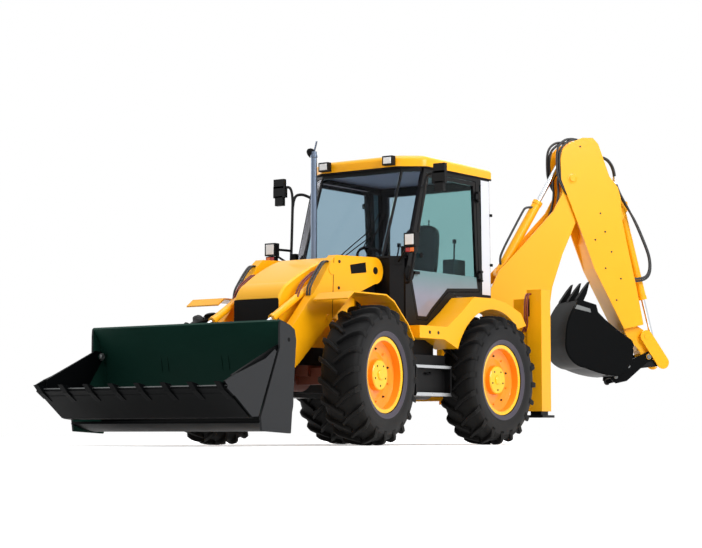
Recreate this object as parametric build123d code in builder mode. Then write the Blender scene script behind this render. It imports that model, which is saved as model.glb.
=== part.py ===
from build123d import *
import os
from math import sin, cos, radians, degrees, atan2, hypot, sqrt

os.makedirs("parts", exist_ok=True)

# Backhoe loader. Frame: rear axle centre over X = 0, +X forward, +Y left, +Z up, ground at Z = 0. Millimetres.

# ---- shared fits -------------------------------------------------------------------------------------
SEAT = 0.3              # gap where one piece rests on another
PIN_GAP = 0.3           # radial gap of a pin in its bore
CLEAR = 6.0             # gap between pieces that move past each other

# ---- wheels and axles --------------------------------------------------------------------------------
WHEELBASE = 2220.0
TYRE_R = 700.0
TYRE_W = 430.0
LUGS = 20               # tread bars on each side of a tyre
LUG_H = 41.0            # height of the bars at the crown
HALF_TRACK = 975.0
AXLE_Z = TYRE_R
RIM_R = 353.0           # barrel of the rim, outside
FLANGE_R = RIM_R + 27.0
FLANGE_U = 177.0        # outer face of the rim flange from the wheel's centre plane
RIM_WALL = 14.0
SPINDLE_R = 50.0
SPINDLE_U = 83.0        # spindle's end from the wheel's centre plane
HUB_R = 110.0
KINGPIN_Y = 820.0
KINGPIN_R = 32.0
STEER_REST = 7.0        # front wheels stand turned this far to the left
TRUMPET_R = 110.0
BEAM_X = 130.0
BEAM_Z = 170.0
ARM_LEN = 170.0         # steering arm, kingpin to track rod

# ---- chassis -----------------------------------------------------------------------------------------
RAIL_IN = 230.0
RAIL_OUT = 300.0
RAIL_Z0 = AXLE_Z + TRUMPET_R + SEAT
RAIL_H = 180.0
RAIL_Z1 = RAIL_Z0 + RAIL_H
RAIL_X0 = -900.0
RAIL_X1 = WHEELBASE + 400.0
NOSE_X1 = RAIL_X1 + 170.0
AXLE_TOP = RAIL_Z0 - SEAT
TOW_R = 16.0            # tow pin hole in the nose
TOWER_IN = 386.0
TOWER_OUT = 424.0

# ---- loader ------------------------------------------------------------------------------------------
ARM_IN = 430.0
ARM_OUT = 530.0
ARM_MID = (ARM_IN + ARM_OUT) / 2
ARM_PIN = (1480.0, 1820.0)
ARM_END_R = 140.0
LIFT_BASE = (1290.0, 960.0)
LIFT_EYE = (2300.0, 1290.0)
TILT_MID = 386.0        # plane of the tilt rams, inside the arms
TILT_BASE = (2250.0, 1700.0)
BUCKET_PIN = (3590.0, 400.0)
TILT_EYE = (3620.0, 900.0)
PIN_R = 32.0
BUCKET_HALF = 1200.0
CLAM_PIN = (3840.0, 880.0)
SIDE_T = 22.0           # bucket side plates

# ---- cab ---------------------------------------------------------------------------------------------
CAB_HALF = 750.0
POST = 50.0             # depth of the cab's side frames across the machine
ROOF_Z0 = 2965.0
ROOF_Z1 = 3090.0
DOOR_GAP = 8.0
HINGE_Y = 772.0          # door hinge line, outside the posts
GLASS = 6.0
FENDER_OUT = 1050.0
FENDER_IN = CAB_HALF + CLEAR
ARCH_R = 770.0
GUARD_R = 792.0         # inside of the front mudguards about the front hub

# ---- rear frame and stabilisers ----------------------------------------------------------------------
REAR_X0 = -1050.0       # rear face of the rear frame
REAR_X1 = -860.0
LEG_Y0 = 960.0
LEG_Y1 = 1150.0
LEG_X0 = -1050.0
LEG_X1 = -850.0
LEG_Z0 = 370.0
LEG_Z1 = 1740.0
LEG_WALL = 25.0
FOOT_Z = 300.0
RAIL_LOW = 560.0        # slide rails, centre heights
RAIL_TOP = 1240.0
SLIDE_H = 120.0

# ---- backhoe: s runs back from the slew axis in the boom's own plane, z up ---------------------------
SLEW_X = -1360.0
SLEW_REST = 36.0        # boom stands slewed this far to the machine's left
BOOM_FOOT = (560.0, 700.0)
BOOM_BASE_PIN = (190.0, 900.0)
BOOM_EYE = (215.0, 1859.0)
DIPPER_PIN = (1140.0, 3170.0)
CROWD_BASE = (250.0, 2020.0)
CROWD_EYE = (1075.0, 3430.0)
BOOM_HALF = 130.0
BOOM_CORE = 70.0
DIP_HALF = 165.0
DIP_IN = 137.0
CURL_BASE = (1845.0, 2890.0)
LEVER_PIN = (2100.0, 1290.0)
LEVER_EYE = (2315.0, 980.0)
HOE_PIN = (2136.0, 1047.0)
LINK_EYE = (1860.0, 932.0)
HITCH_A = (1695.0, 802.0)
NOSE_HALF = 86.0
LINK_Y = (92.0, 106.0)
HITCH_Y = (109.0, 126.0)
LEVER_Y = (130.0, 148.0)
HOE_HALF = 300.0


# ---- drawing helpers ---------------------------------------------------------------------------------
def side(y):
    """Plane across the machine at y: sketch x is X, sketch y is Z."""
    return Plane(origin=(0, y, 0), x_dir=(1, 0, 0), z_dir=(0, -1, 0))


def hoe(n=0.0):
    """The boom's plane, n to the side of it: sketch x is s, sketch y is z."""
    a = radians(SLEW_REST)
    return Plane(origin=(SLEW_X + n * sin(a), n * cos(a), 0), x_dir=(-cos(a), sin(a), 0), z_dir=(sin(a), cos(a), 0))


def hoe_point(s, z, n=0.0):
    a = radians(SLEW_REST)
    return Vector(SLEW_X - s * cos(a) + n * sin(a), s * sin(a) + n * cos(a), z)


def slab(plane, points, thick, mode=Mode.ADD, round_r=0.0):
    """Plate of a straight-sided outline, its middle on the plane."""
    with BuildSketch(plane) as sk:
        with BuildLine():
            Polyline(*points, close=True)
        make_face()
        if round_r:
            fillet(sk.vertices(), round_r)
    extrude(sk.sketch, amount=thick / 2, both=True, mode=mode)


def disc(plane, centre, r, thick, mode=Mode.ADD):
    """Round boss, pin or bore on the plane."""
    with BuildSketch(plane) as sk:
        with Locations(centre):
            Circle(r)
    extrude(sk.sketch, amount=thick / 2, both=True, mode=mode)


def strap(plane, a, b, r, thick, mode=Mode.ADD):
    """Link plate with round ends about points a and b."""
    with BuildSketch(plane) as sk:
        with Locations(((a[0] + b[0]) / 2, (a[1] + b[1]) / 2)):
            SlotCenterToCenter(hypot(b[0] - a[0], b[1] - a[1]), 2 * r, rotation=degrees(atan2(b[1] - a[1], b[0] - a[0])))
    extrude(sk.sketch, amount=thick / 2, both=True, mode=mode)


def block(x0, x1, y0, y1, z0, z1, mode=Mode.ADD):
    with Locations(((x0 + x1) / 2, (y0 + y1) / 2, (z0 + z1) / 2)):
        Box(x1 - x0, y1 - y0, z1 - z0, mode=mode)


def rod(p, q, r, mode=Mode.ADD):
    """Round bar from p to q."""
    a, b = Vector(*p), Vector(*q)
    with BuildSketch(Plane(origin=a, z_dir=b - a)) as sk:
        Circle(r)
    extrude(sk.sketch, amount=(b - a).length, mode=mode)


def toward(a, b, d):
    """Point at distance d from a toward b, in a side plane."""
    n = hypot(b[0] - a[0], b[1] - a[1])
    return (a[0] + (b[0] - a[0]) * d / n, a[1] + (b[1] - a[1]) * d / n)


def save(piece, name):
    piece.part.label = name
    export_step(piece.part, "parts/" + name + ".step")


def ram_barrel(plane, base, eye, length, r, eye_r, width):
    """Cylinder barrel with a round eye at its base pin and a gland at its mouth."""
    strap(plane, base, toward(base, eye, 1.0), eye_r, width)
    p0 = plane.from_local_coords(Vector(*toward(base, eye, eye_r * 0.6)))
    p1 = plane.from_local_coords(Vector(*toward(base, eye, length - 45)))
    p2 = plane.from_local_coords(Vector(*toward(base, eye, length)))
    rod(p0, p1, r)
    rod(p1, p2, r + 5)


def ram_bore(plane, base, eye, length, r, eye_r):
    """Bore of the barrel for the rod, and the eye's hole for the base pin."""
    p0 = plane.from_local_coords(Vector(*toward(base, eye, eye_r + 35)))
    p2 = plane.from_local_coords(Vector(*toward(base, eye, length + 1)))
    rod(p0, p2, r, mode=Mode.SUBTRACT)


def ram_rod(plane, base, eye, start, r, eye_r, width):
    """Chrome rod that ends in a round eye."""
    p0 = plane.from_local_coords(Vector(*toward(base, eye, start)))
    n = hypot(eye[0] - base[0], eye[1] - base[1])
    p1 = plane.from_local_coords(Vector(*toward(base, eye, n - eye_r * 0.6)))
    rod(p0, p1, r)
    disc(plane, eye, eye_r, width)


# ---- wheels ------------------------------------------------------------------------------------------
def wheel_pose(x, hand, steer):
    """Centre and outward axis of a wheel."""
    a = radians(steer)
    if x == 0:
        return Vector(0, hand * HALF_TRACK, AXLE_Z), Vector(0, hand, 0)
    axis = Vector(-sin(a) * hand, cos(a) * hand, 0)
    return Vector(x, hand * KINGPIN_Y, AXLE_Z) + axis * (HALF_TRACK - KINGPIN_Y), axis


def turned(centre, axis, points):
    """Revolve of a profile given as (radius, distance outward along the axle)."""
    plane = Plane(origin=centre, x_dir=(0, 0, 1), z_dir=Vector(0, 0, 1).cross(axis))
    with BuildSketch(plane) as sk:
        with BuildLine():
            Polyline(*points, close=True)
        make_face()
    revolve(sk.sketch, axis=Axis(centre, axis))


BEAD = FLANGE_U - 12 - SEAT
DISH_R = RIM_R - RIM_WALL        # inside of the rim's barrel
HALF_W = TYRE_W / 2
tyre_half = [            # radius, distance out: the tyre's body between the bars
    (RIM_R + SEAT, BEAD), (FLANGE_R + 4, BEAD), (FLANGE_R + 6, BEAD + 24), (FLANGE_R + 70, HALF_W - 9), (TYRE_R - 160, HALF_W - 3),
    (TYRE_R - 110, HALF_W - 9), (TYRE_R - 75, HALF_W - 24), (TYRE_R - LUG_H - 14, HALF_W - 55), (TYRE_R - LUG_H, 60),
]
tyre_profile = tyre_half + [(r, -u) for r, u in reversed(tyre_half)]
lug_reach = [            # radius, distance out: what the bars' tips reach
    (TYRE_R - 250, -40), (TYRE_R, -40), (TYRE_R, HALF_W - 125), (TYRE_R - 8, HALF_W - 65), (TYRE_R - 32, HALF_W - 12), (TYRE_R - 60, HALF_W - 4),
    (TYRE_R - 110, HALF_W - 4), (TYRE_R - 150, HALF_W - 8), (TYRE_R - 250, HALF_W - 20),
]
lug_line = [             # distance out, place along the tread, half width
    (-22, 83, 18), (45, 28, 21), (HALF_W - 75, -38, 24), (HALF_W, -77, 22),
]
LUG_LAG = 7.0            # middle of a bar behind its tip, degrees
rim_profile = [          # radius, distance out
    (0, 128), (HUB_R + 32, 128), (HUB_R + 42, 118), (HUB_R + 50, 70), (DISH_R - 104, 62), (DISH_R - 39, 78), (DISH_R, 95), (DISH_R, FLANGE_U - 6),
    (FLANGE_R - 12, FLANGE_U), (FLANGE_R, FLANGE_U), (FLANGE_R, FLANGE_U - 12), (RIM_R, FLANGE_U - 12),
    (RIM_R, 12 - FLANGE_U), (FLANGE_R, 12 - FLANGE_U), (FLANGE_R, -FLANGE_U), (DISH_R, -FLANGE_U),
    (DISH_R, 81), (DISH_R - 39, 64), (DISH_R - 104, 48), (HUB_R + 55, 48), (HUB_R + 30, 40), (HUB_R + 30, 20), (SPINDLE_R + PIN_GAP, 20),
    (SPINDLE_R + PIN_GAP, SPINDLE_U + 5), (0, SPINDLE_U + 5),
]

wheels = [               # name, x, hand, steer angle
    ("rear_left", 0.0, 1, 0.0), ("rear_right", 0.0, -1, 0.0),
    ("front_left", WHEELBASE, 1, STEER_REST), ("front_right", WHEELBASE, -1, STEER_REST),
]
# one tread bar, then the whole tyre about its own axle: local x up, y forward, z to the machine's left
with BuildPart() as lug:
    turn = radians(-LUG_LAG)
    radial = Plane(origin=(0, 0, 0), x_dir=(-sin(turn), cos(turn), 0), z_dir=(cos(turn), sin(turn), 0))
    with BuildSketch(radial.offset(TYRE_R - 160)) as foot:
        with BuildLine():
            Polyline(*([(t + w, u) for u, t, w in lug_line] + [(t - w, u) for u, t, w in reversed(lug_line)]), close=True)
        make_face()
    extrude(foot.sketch, amount=180)
    with BuildSketch(Plane.XZ) as reach:
        with BuildLine():
            Polyline(*lug_reach, close=True)
        make_face()
    revolve(reach.sketch, axis=Axis.Z, mode=Mode.INTERSECT)
with BuildPart() as tyre:
    with BuildSketch(Plane.XZ) as section:
        with BuildLine():
            Polyline(*tyre_profile, close=True)
        make_face()
    revolve(section.sketch, axis=Axis.Z)
    right = mirror(lug.part, about=Plane.XY, mode=Mode.PRIVATE)
    with Locations(*[Location((0, 0, 0), (0, 0, 1), 360 * k / LUGS + 180 / LUGS) for k in range(LUGS)]):
        add(lug.part)
    with Locations(*[Location((0, 0, 0), (0, 0, 1), 360 * k / LUGS) for k in range(LUGS)]):
        add(right)
for wheel, x, hand, steer in wheels:
    centre, axis = wheel_pose(x, hand, steer)
    placed = tyre.part.moved(Plane(origin=centre, x_dir=(0, 0, 1), z_dir=axis * hand).location)
    placed.label = "tyre_" + wheel
    export_step(placed, "parts/tyre_" + wheel + ".step")
    with BuildPart() as rim:
        turned(centre, axis, rim_profile)
    save(rim, "rim_" + wheel)

# ---- knuckles: kingpin, block, spindle and steering arm ----------------------------------------------
for wheel, x, hand, steer in wheels[2:]:
    centre, axis = wheel_pose(x, hand, steer)
    king = Vector(x, hand * KINGPIN_Y, AXLE_Z)
    back = Vector(-cos(radians(steer)), -sin(radians(steer)), 0)
    with BuildPart() as knuckle:
        rod(king - Vector(0, 0, 78), king + Vector(0, 0, 78), 68)
        rod(king - Vector(0, 0, 135), king + Vector(0, 0, 135), KINGPIN_R)
        rod(king, centre + axis * 15, 66)
        rod(centre, centre + axis * SPINDLE_U, SPINDLE_R)
        tip = king + back * ARM_LEN
        with BuildSketch(Plane(origin=(king + back * (ARM_LEN / 2)), x_dir=back, z_dir=(0, 0, 1))) as arm:
            SlotCenterToCenter(ARM_LEN, 60)
        extrude(arm.sketch, amount=15, both=True)
        rod(tip - Vector(0, 0, 15), tip + Vector(0, 0, 50), 14)
    save(knuckle, "knuckle_" + wheel)

# ---- track rod with an eye over each steering arm ----------------------------------------------------
ROD_Z = AXLE_Z + 35.0
tips = [Vector(WHEELBASE, h * KINGPIN_Y, 0) + Vector(-cos(radians(STEER_REST)), -sin(radians(STEER_REST)), 0) * ARM_LEN
        for h in (1, -1)]
SWAY = (-3.0, 10.5)     # how far the arms' pins move along the machine within the lock


def rod_eye(t, r, thick, mode=Mode.ADD):
    """Long eye, or its hole, in which the arm's pin moves along the machine."""
    with BuildSketch(Plane(origin=(t.X + (SWAY[0] + SWAY[1]) / 2, t.Y, ROD_Z))) as eye:
        SlotCenterToCenter(SWAY[1] - SWAY[0], 2 * r)
    extrude(eye.sketch, amount=thick / 2, both=True, mode=mode)


with BuildPart() as track_rod:
    rod((tips[0].X, tips[0].Y, ROD_Z), (tips[1].X, tips[1].Y, ROD_Z), 18)
    for t in tips:
        rod_eye(t, 30, 30)
    for t in tips:
        rod_eye(t, 14 + 1.3, 50, mode=Mode.SUBTRACT)
save(track_rod, "track_rod")
TRACK_ROD_X = tips[0].X

# ---- front axle: beam, centre housing, kingpin lugs and steering cylinder ---------------------------
with BuildPart() as front_axle:
    block(WHEELBASE - BEAM_X / 2, WHEELBASE + BEAM_X / 2, -735, 735, AXLE_Z - BEAM_Z / 2, AXLE_Z + BEAM_Z / 2)
    rod((WHEELBASE - 150, 0, AXLE_Z), (WHEELBASE + 170, 0, AXLE_Z), 150)
    block(WHEELBASE - 110, WHEELBASE + 110, -RAIL_OUT, RAIL_OUT, AXLE_Z, AXLE_TOP)
    for h in (1, -1):
        for z in (-1, 1):
            lug = Plane(origin=(WHEELBASE, h * 760, AXLE_Z + z * 97), x_dir=(0, 1, 0), z_dir=(0, 0, 1))
            with BuildSketch(lug) as plate:
                SlotCenterToCenter(120, BEAM_X)
            extrude(plate.sketch, amount=15, both=True)
            block(WHEELBASE - BEAM_X / 2, WHEELBASE + BEAM_X / 2, h * 700 - 35, h * 700 + 35,
                  AXLE_Z + z * 97 - 15, AXLE_Z + z * 97 + 15)
        rod((WHEELBASE, h * KINGPIN_Y, AXLE_Z - 140), (WHEELBASE, h * KINGPIN_Y, AXLE_Z + 140),
            KINGPIN_R + PIN_GAP, mode=Mode.SUBTRACT)
    block(TRACK_ROD_X - 5, WHEELBASE, -200, 200, ROD_Z - 48, ROD_Z + 48)
    rod((TRACK_ROD_X, -230, ROD_Z), (TRACK_ROD_X, 230, ROD_Z), 48)
    rod((TRACK_ROD_X, -231, ROD_Z), (TRACK_ROD_X, 231, ROD_Z), 18 + PIN_GAP, mode=Mode.SUBTRACT)
save(front_axle, "front_axle")

# ---- rear axle -----------------------------------------------------------------------------------------
with BuildPart() as rear_axle:
    rod((0, -(HALF_TRACK + 12), AXLE_Z), (0, HALF_TRACK + 12, AXLE_Z), TRUMPET_R - 22)
    rod((0, -HALF_TRACK - SPINDLE_U, AXLE_Z), (0, HALF_TRACK + SPINDLE_U, AXLE_Z), SPINDLE_R)
    rod((0, -640, AXLE_Z), (0, 640, AXLE_Z), TRUMPET_R)
    rod((-190, 0, AXLE_Z), (230, 0, AXLE_Z), 200)
save(rear_axle, "rear_axle")

# ---- chassis frame: rails, cross members, loader towers, nose --------------------------------------------
tower_outline = [(1225, 830), (1560, 830), (1640, 1200), (1600, 1760), (1590, 1900), (1500, 1950), (1400, 1930), (1345, 1850),
                 (1345, 1248), (1240, 1235), (1225, 1150)]
cross_members = [        # x0, x1, z0, z1
    (RAIL_X0, RAIL_X0 + 100, RAIL_Z0, RAIL_Z1), (640, 740, RAIL_Z0 + 30, RAIL_Z1), (1400, 1500, RAIL_Z0, RAIL_Z1),
    (RAIL_X1 - 100, RAIL_X1, RAIL_Z0 + 60, RAIL_Z1),
]
CAB_REAR_Z = 1612.0      # undersides of the cab's floor
CAB_FRONT_Z = 1250.0 + SEAT + 10
with BuildPart() as chassis_frame:
    for h in (1, -1):
        y0, y1 = sorted((h * RAIL_IN, h * RAIL_OUT))
        block(RAIL_X0, RAIL_X1, y0, y1, RAIL_Z0, RAIL_Z1)
        slab(side(h * (TOWER_IN + TOWER_OUT) / 2), tower_outline, TOWER_OUT - TOWER_IN, round_r=12)
        y0, y1 = sorted((h * (RAIL_OUT - 5), h * (TOWER_IN + 5)))
        block(1260, 1540, y0, y1, RAIL_Z0 + 20, RAIL_Z1)
        disc(side(h * (TOWER_OUT + ARM_OUT) / 2), ARM_PIN, PIN_R + 6, ARM_OUT - TOWER_OUT + 10)
        disc(side(h * (TOWER_OUT + ARM_IN - SEAT - 2) / 2), ARM_PIN, 80, ARM_IN - TOWER_OUT - SEAT + 2)
        disc(side(h * (TOWER_OUT + ARM_OUT) / 2), LIFT_BASE, PIN_R, ARM_OUT - TOWER_OUT + 4)
    # cab mounts: two on each rail, the rear ones as tall posts
    for h in (1, -1):
        y0, y1 = sorted((h * RAIL_IN, h * RAIL_OUT))
        for x0, x1, top in ((-400, -320, CAB_REAR_Z), (700, 800, CAB_FRONT_Z), (1090, 1190, CAB_FRONT_Z)):
            block(x0, x1, y0, y1, RAIL_Z1 - 5, top - SEAT)
    for x0, x1, z0, z1 in cross_members:
        block(x0, x1, -RAIL_OUT, RAIL_OUT, z0, z1)
    slab(side(0), [(RAIL_X1 - 10, 780), (NOSE_X1 - 90, 800), (NOSE_X1, 900), (NOSE_X1, 1180), (RAIL_X1 - 10, 1180)],
         2 * RAIL_OUT - 20)
    block(NOSE_X1 - 70, NOSE_X1 + 72, -55, 55, 850, 875)
    block(NOSE_X1 - 5, NOSE_X1 + 72, -55, 55, 925, 950)
    rod((NOSE_X1 + 42, 0, 840), (NOSE_X1 + 42, 0, 960), TOW_R, mode=Mode.SUBTRACT)
save(chassis_frame, "chassis_frame")

# ---- engine: one plain block on the rails -----------------------------------------------------------------
ENGINE_X0, ENGINE_X1 = 1620.0, 2380.0
with BuildPart() as engine:
    block(ENGINE_X0, ENGINE_X1, -270, 270, RAIL_Z1 + SEAT, 1420)
    block(ENGINE_X0 + 60, ENGINE_X1 - 60, -210, 210, RAIL_Z0 + 60, RAIL_Z1 + 10)
save(engine, "engine_block")

# ---- hood: thin shell over the engine, narrower at the nose -------------------------------------------------
HOOD_Z0 = RAIL_Z1 + SEAT
HOOD_X0 = 1372.0
HOOD_WALL = 12.0
HOOD_REAR = 378.0       # half widths
HOOD_FRONT = 292.0
GRILLE_HALF = 255.0
GRILLE_Z0, GRILLE_Z1 = 1215.0, 1470.0


def hood_form(inset, mode=Mode.ADD):
    """Outer form of the hood, or its hollow when inset by the wall."""
    i = inset
    with BuildPart(mode=Mode.PRIVATE) as body:
        with BuildSketch(side(0)) as profile:
            with BuildLine():
                a = (HOOD_X0 - 2 * i, HOOD_Z0 - 2 * i)
                b = (HOOD_X0 - 2 * i, 1985 - i)
                c = (2000, 1930 - i)
                d = (2640 - i, 1640 - i)
                e = (2795 - i, 1470 - i)
                f = (2795 - i, HOOD_Z0 + 190 - 2 * i)
                g = (RAIL_X1 - 12, HOOD_Z0 + 190 - 2 * i)
                k = (RAIL_X1 - 12, HOOD_Z0 - 2 * i)
                Line(a, b)
                Line(b, c)
                ThreePointArc(c, (2335 - i * 0.3, 1805 - i * 1.2), d)
                ThreePointArc(d, (2735 - i, 1570 - i), e)
                Line(e, f)
                Line(f, g)
                Line(g, k)
                Line(k, a)
            make_face()
        extrude(profile.sketch, amount=500, both=True)
        with BuildSketch(Plane.XY.offset(800)) as plan:
            with BuildLine():
                w0, w1 = HOOD_REAR - i, HOOD_FRONT - i
                Polyline((1300 - 3 * i, -w0), (2820, -w1), (2820, w1), (1300 - 3 * i, w0), close=True)
            make_face()
        extrude(plan.sketch, amount=1400, mode=Mode.INTERSECT)
    add(body.part, mode=mode)


with BuildPart() as hood:
    hood_form(0)
    rims = hood.edges().filter_by(lambda e: e.center().Z > 1550 and (e @ 0).Y * (e @ 1).Y > 0
                                  and abs((e @ 0).X - (e @ 1).X) > 20)
    chamfer(rims, 18)
    hood_form(HOOD_WALL, mode=Mode.SUBTRACT)
    block(2700, 2830, -GRILLE_HALF, GRILLE_HALF, GRILLE_Z0, GRILLE_Z1, mode=Mode.SUBTRACT)
save(hood, "hood")

with BuildPart() as grille:
    g0 = SEAT
    block(2795 - HOOD_WALL, 2795 - 2, -GRILLE_HALF + g0, GRILLE_HALF - g0, GRILLE_Z0 + g0, GRILLE_Z1 - g0)
    with Locations((2795, 0, (GRILLE_Z0 + GRILLE_Z1) / 2)):
        with GridLocations(0, 0, 1, 1):
            Box(30, 2 * GRILLE_HALF - 60, GRILLE_Z1 - GRILLE_Z0 - 60, mode=Mode.SUBTRACT)
    for k in range(7):
        z = GRILLE_Z0 + 42 + k * (GRILLE_Z1 - GRILLE_Z0 - 84) / 6
        block(2795 - HOOD_WALL, 2795 - 4, -GRILLE_HALF + 25, GRILLE_HALF - 25, z - 7, z + 7)
save(grille, "grille")

# ---- loader arms: two box beams with a cross tube ------------------------------------------------------------
arm_outline = [(1480, 1680), (1920, 1520), (2210, 1290), (2760, 818), (3470, 330), (3560, 312)]
arm_top = [(3650, 352), (3672, 420), (3560, 545), (2830, 1222), (2450, 1610), (2250, 1865), (2160, 1935), (1480, 1960)]
with BuildPart() as loader_arms:
    for h in (1, -1):
        plane = side(h * ARM_MID)
        with BuildSketch(plane) as beam:
            with BuildLine():
                Polyline(*(arm_outline + arm_top))
                ThreePointArc((1480, 1960), (1480 - ARM_END_R, 1820), (1480, 1680))
            make_face()
        extrude(beam.sketch, amount=(ARM_OUT - ARM_IN) / 2, both=True)
        # slot under the arm for the lift rod's eye, and lugs beside it
        strap(plane, (LIFT_EYE[0], LIFT_EYE[1] + 60), (LIFT_EYE[0], LIFT_EYE[1] - 4), 78, ARM_OUT - ARM_IN)
        strap(plane, (LIFT_EYE[0], LIFT_EYE[1] - 10), (LIFT_EYE[0] - 60, LIFT_EYE[1] - 30), 72, 60, mode=Mode.SUBTRACT)
        for q, r in (((LIFT_EYE[0] - 76, LIFT_EYE[1] - 14), 62), ((LIFT_EYE[0] - 220, LIFT_EYE[1] + 60), 37)):
            strap(plane, (LIFT_EYE[0] + 9, LIFT_EYE[1] + 5), q, r, 60, mode=Mode.SUBTRACT)
        disc(side(h * (ARM_OUT + 2)), LIFT_EYE, PIN_R, 12)
        disc(plane, ARM_PIN, PIN_R + 6 + PIN_GAP, 120, mode=Mode.SUBTRACT)
        disc(plane, BUCKET_PIN, PIN_R + PIN_GAP, 120, mode=Mode.SUBTRACT)
        # knee boss outside and tilt ram pin inside
        disc(side(h * (ARM_OUT - 2)), (2230, 1790), 62, 16)
        disc(side(h * ((TILT_MID + ARM_IN) / 2 - 8)), TILT_BASE, PIN_R, ARM_IN - TILT_MID + 44)
    block(2905, 3015, -ARM_IN - 5, ARM_IN + 5, 870, 980)
save(loader_arms, "loader_arms")

# ---- lift rams -----------------------------------------------------------------------------------------------
LIFT_R = 46.0
LIFT_BARREL = 900.0
with BuildPart() as lift_barrels:
    for h in (1, -1):
        ram_barrel(side(h * ARM_MID), LIFT_BASE, LIFT_EYE, LIFT_BARREL, LIFT_R, 58, 60)
        ram_bore(side(h * ARM_MID), LIFT_BASE, LIFT_EYE, LIFT_BARREL, 27 + PIN_GAP, 58)
        disc(side(h * ARM_MID), LIFT_BASE, PIN_R + PIN_GAP, 70, mode=Mode.SUBTRACT)
save(lift_barrels, "lift_ram_barrels")
with BuildPart() as lift_rods:
    for h in (1, -1):
        ram_rod(side(h * ARM_MID), LIFT_BASE, LIFT_EYE, 150, 27, 52, 54)
save(lift_rods, "lift_ram_rods")

# ---- tilt rams: from the knee of each arm to the top of the bucket --------------------------------------------
TILT_R = 38.0
TILT_BARREL = 900.0
with BuildPart() as tilt_barrels:
    for h in (1, -1):
        ram_barrel(side(h * TILT_MID), TILT_BASE, TILT_EYE, TILT_BARREL, TILT_R, 52, 56)
        ram_bore(side(h * TILT_MID), TILT_BASE, TILT_EYE, TILT_BARREL, 24 + PIN_GAP, 52)
        disc(side(h * TILT_MID), TILT_BASE, PIN_R + PIN_GAP, 100, mode=Mode.SUBTRACT)
save(tilt_barrels, "tilt_ram_barrels")
with BuildPart() as tilt_rods:
    for h in (1, -1):
        ram_rod(side(h * TILT_MID), TILT_BASE, TILT_EYE, 150, 24, 48, 50)
        disc(side(h * TILT_MID), TILT_EYE, PIN_R - 4, 58)
save(tilt_rods, "tilt_ram_rods")

# ---- loader bucket: fixed back with end plates, and the opening clam -------------------------------------------
end_plate = [(3668, 985), (3692, 1082), (3762, 1122), (3905, 1165), (3912, 1090), (3912, 905), (4186, 262), (4168, 140), (3745, 118)]
back_curve = [           # bottom edge to top edge of the back sheet, arcs through the middle points
    ((4190, 224), (4040, 175), (3900, 150)), ((3900, 150), (3765, 250), (3715, 480)),
    ((3715, 480), (3725, 830), (3905, 1160)),
]
SHEET = 26.0
with BuildPart() as bucket_back:
    with BuildSketch(side(0)) as sheet:
        with BuildLine():
            for a, m, b in back_curve:
                ThreePointArc(a, m, b)
        trace(line_width=SHEET)
    extrude(sheet.sketch, amount=BUCKET_HALF - 10, both=True)
    for h in (1, -1):
        slab(side(h * (BUCKET_HALF - SIDE_T / 2)), end_plate, SIDE_T, round_r=14)
        disc(side(h * (BUCKET_HALF - SIDE_T - CLEAR - 10)), CLAM_PIN, 30, 2 * (SIDE_T + CLEAR + 10))
    for h in (1, -1):
        for y in (TILT_MID - 42, TILT_MID + 42):
            slab(side(h * y), [(TILT_EYE[0] - 48, TILT_EYE[1] - 30), (TILT_EYE[0] - 20, TILT_EYE[1] + 48), (3770, 960), (3722, 720)], 18)
        for y in (TILT_MID - 54, TILT_MID + 54):
            disc(side(h * y), TILT_EYE, PIN_R - 4, 10)
        for y in (ARM_IN - CLEAR - 12, ARM_OUT + CLEAR + 12):
            slab(side(h * y), [(3536, 350), (3560, 472), (3718, 560), (3762, 250), (3640, 336)], 20, round_r=20)
        disc(side(h * ARM_MID), BUCKET_PIN, PIN_R, ARM_OUT - ARM_IN + 60)
save(bucket_back, "bucket_back")

clam_side = [(3985, 890), (4120, 800), (4560, 640), (4690, 580), (4600, 492), (4310, 268), (4220, 272), (3962, 868)]
floor_line = [(4222, 252), (4316, 262), (4600, 474), (4610, 508), (4300, 292), (4222, 278)]
lip_line = [(4560, 452), (4660, 520), (4652, 548), (4560, 490)]
TEETH = 8
with BuildPart() as bucket_clam:
    for h in (1, -1):
        slab(side(h * (BUCKET_HALF - SIDE_T / 2)), clam_side, SIDE_T)
        slab(side(h * (BUCKET_HALF - 1.5 * SIDE_T - CLEAR)),
             [(3805, 850), (3815, 925), (3900, 938), (4560, 640), (4600, 500), (4310, 270), (4222, 262)], SIDE_T)
        slab(side(h * (BUCKET_HALF - SIDE_T - CLEAR / 2)), [(3975, 900), (4560, 640), (4600, 500), (4310, 275), (4240, 285)], CLEAR + 2)
        disc(side(h * (BUCKET_HALF - 1.5 * SIDE_T - CLEAR)), CLAM_PIN, 52, SIDE_T)
        disc(side(h * (BUCKET_HALF - 1.5 * SIDE_T - CLEAR)), CLAM_PIN, 30 + PIN_GAP, SIDE_T + 10, mode=Mode.SUBTRACT)
    slab(side(0), floor_line, 2 * (BUCKET_HALF - SIDE_T - CLEAR))
    slab(side(0), lip_line, 2 * BUCKET_HALF)
    for k in range(TEETH):
        y = -BUCKET_HALF + 65 + k * (2 * BUCKET_HALF - 130) / (TEETH - 1)
        slab(side(y), [(4520, 440), (4540, 424), (4655, 500), (4735, 582), (4650, 566), (4560, 506)], 62)
save(bucket_clam, "bucket_clam")

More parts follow.
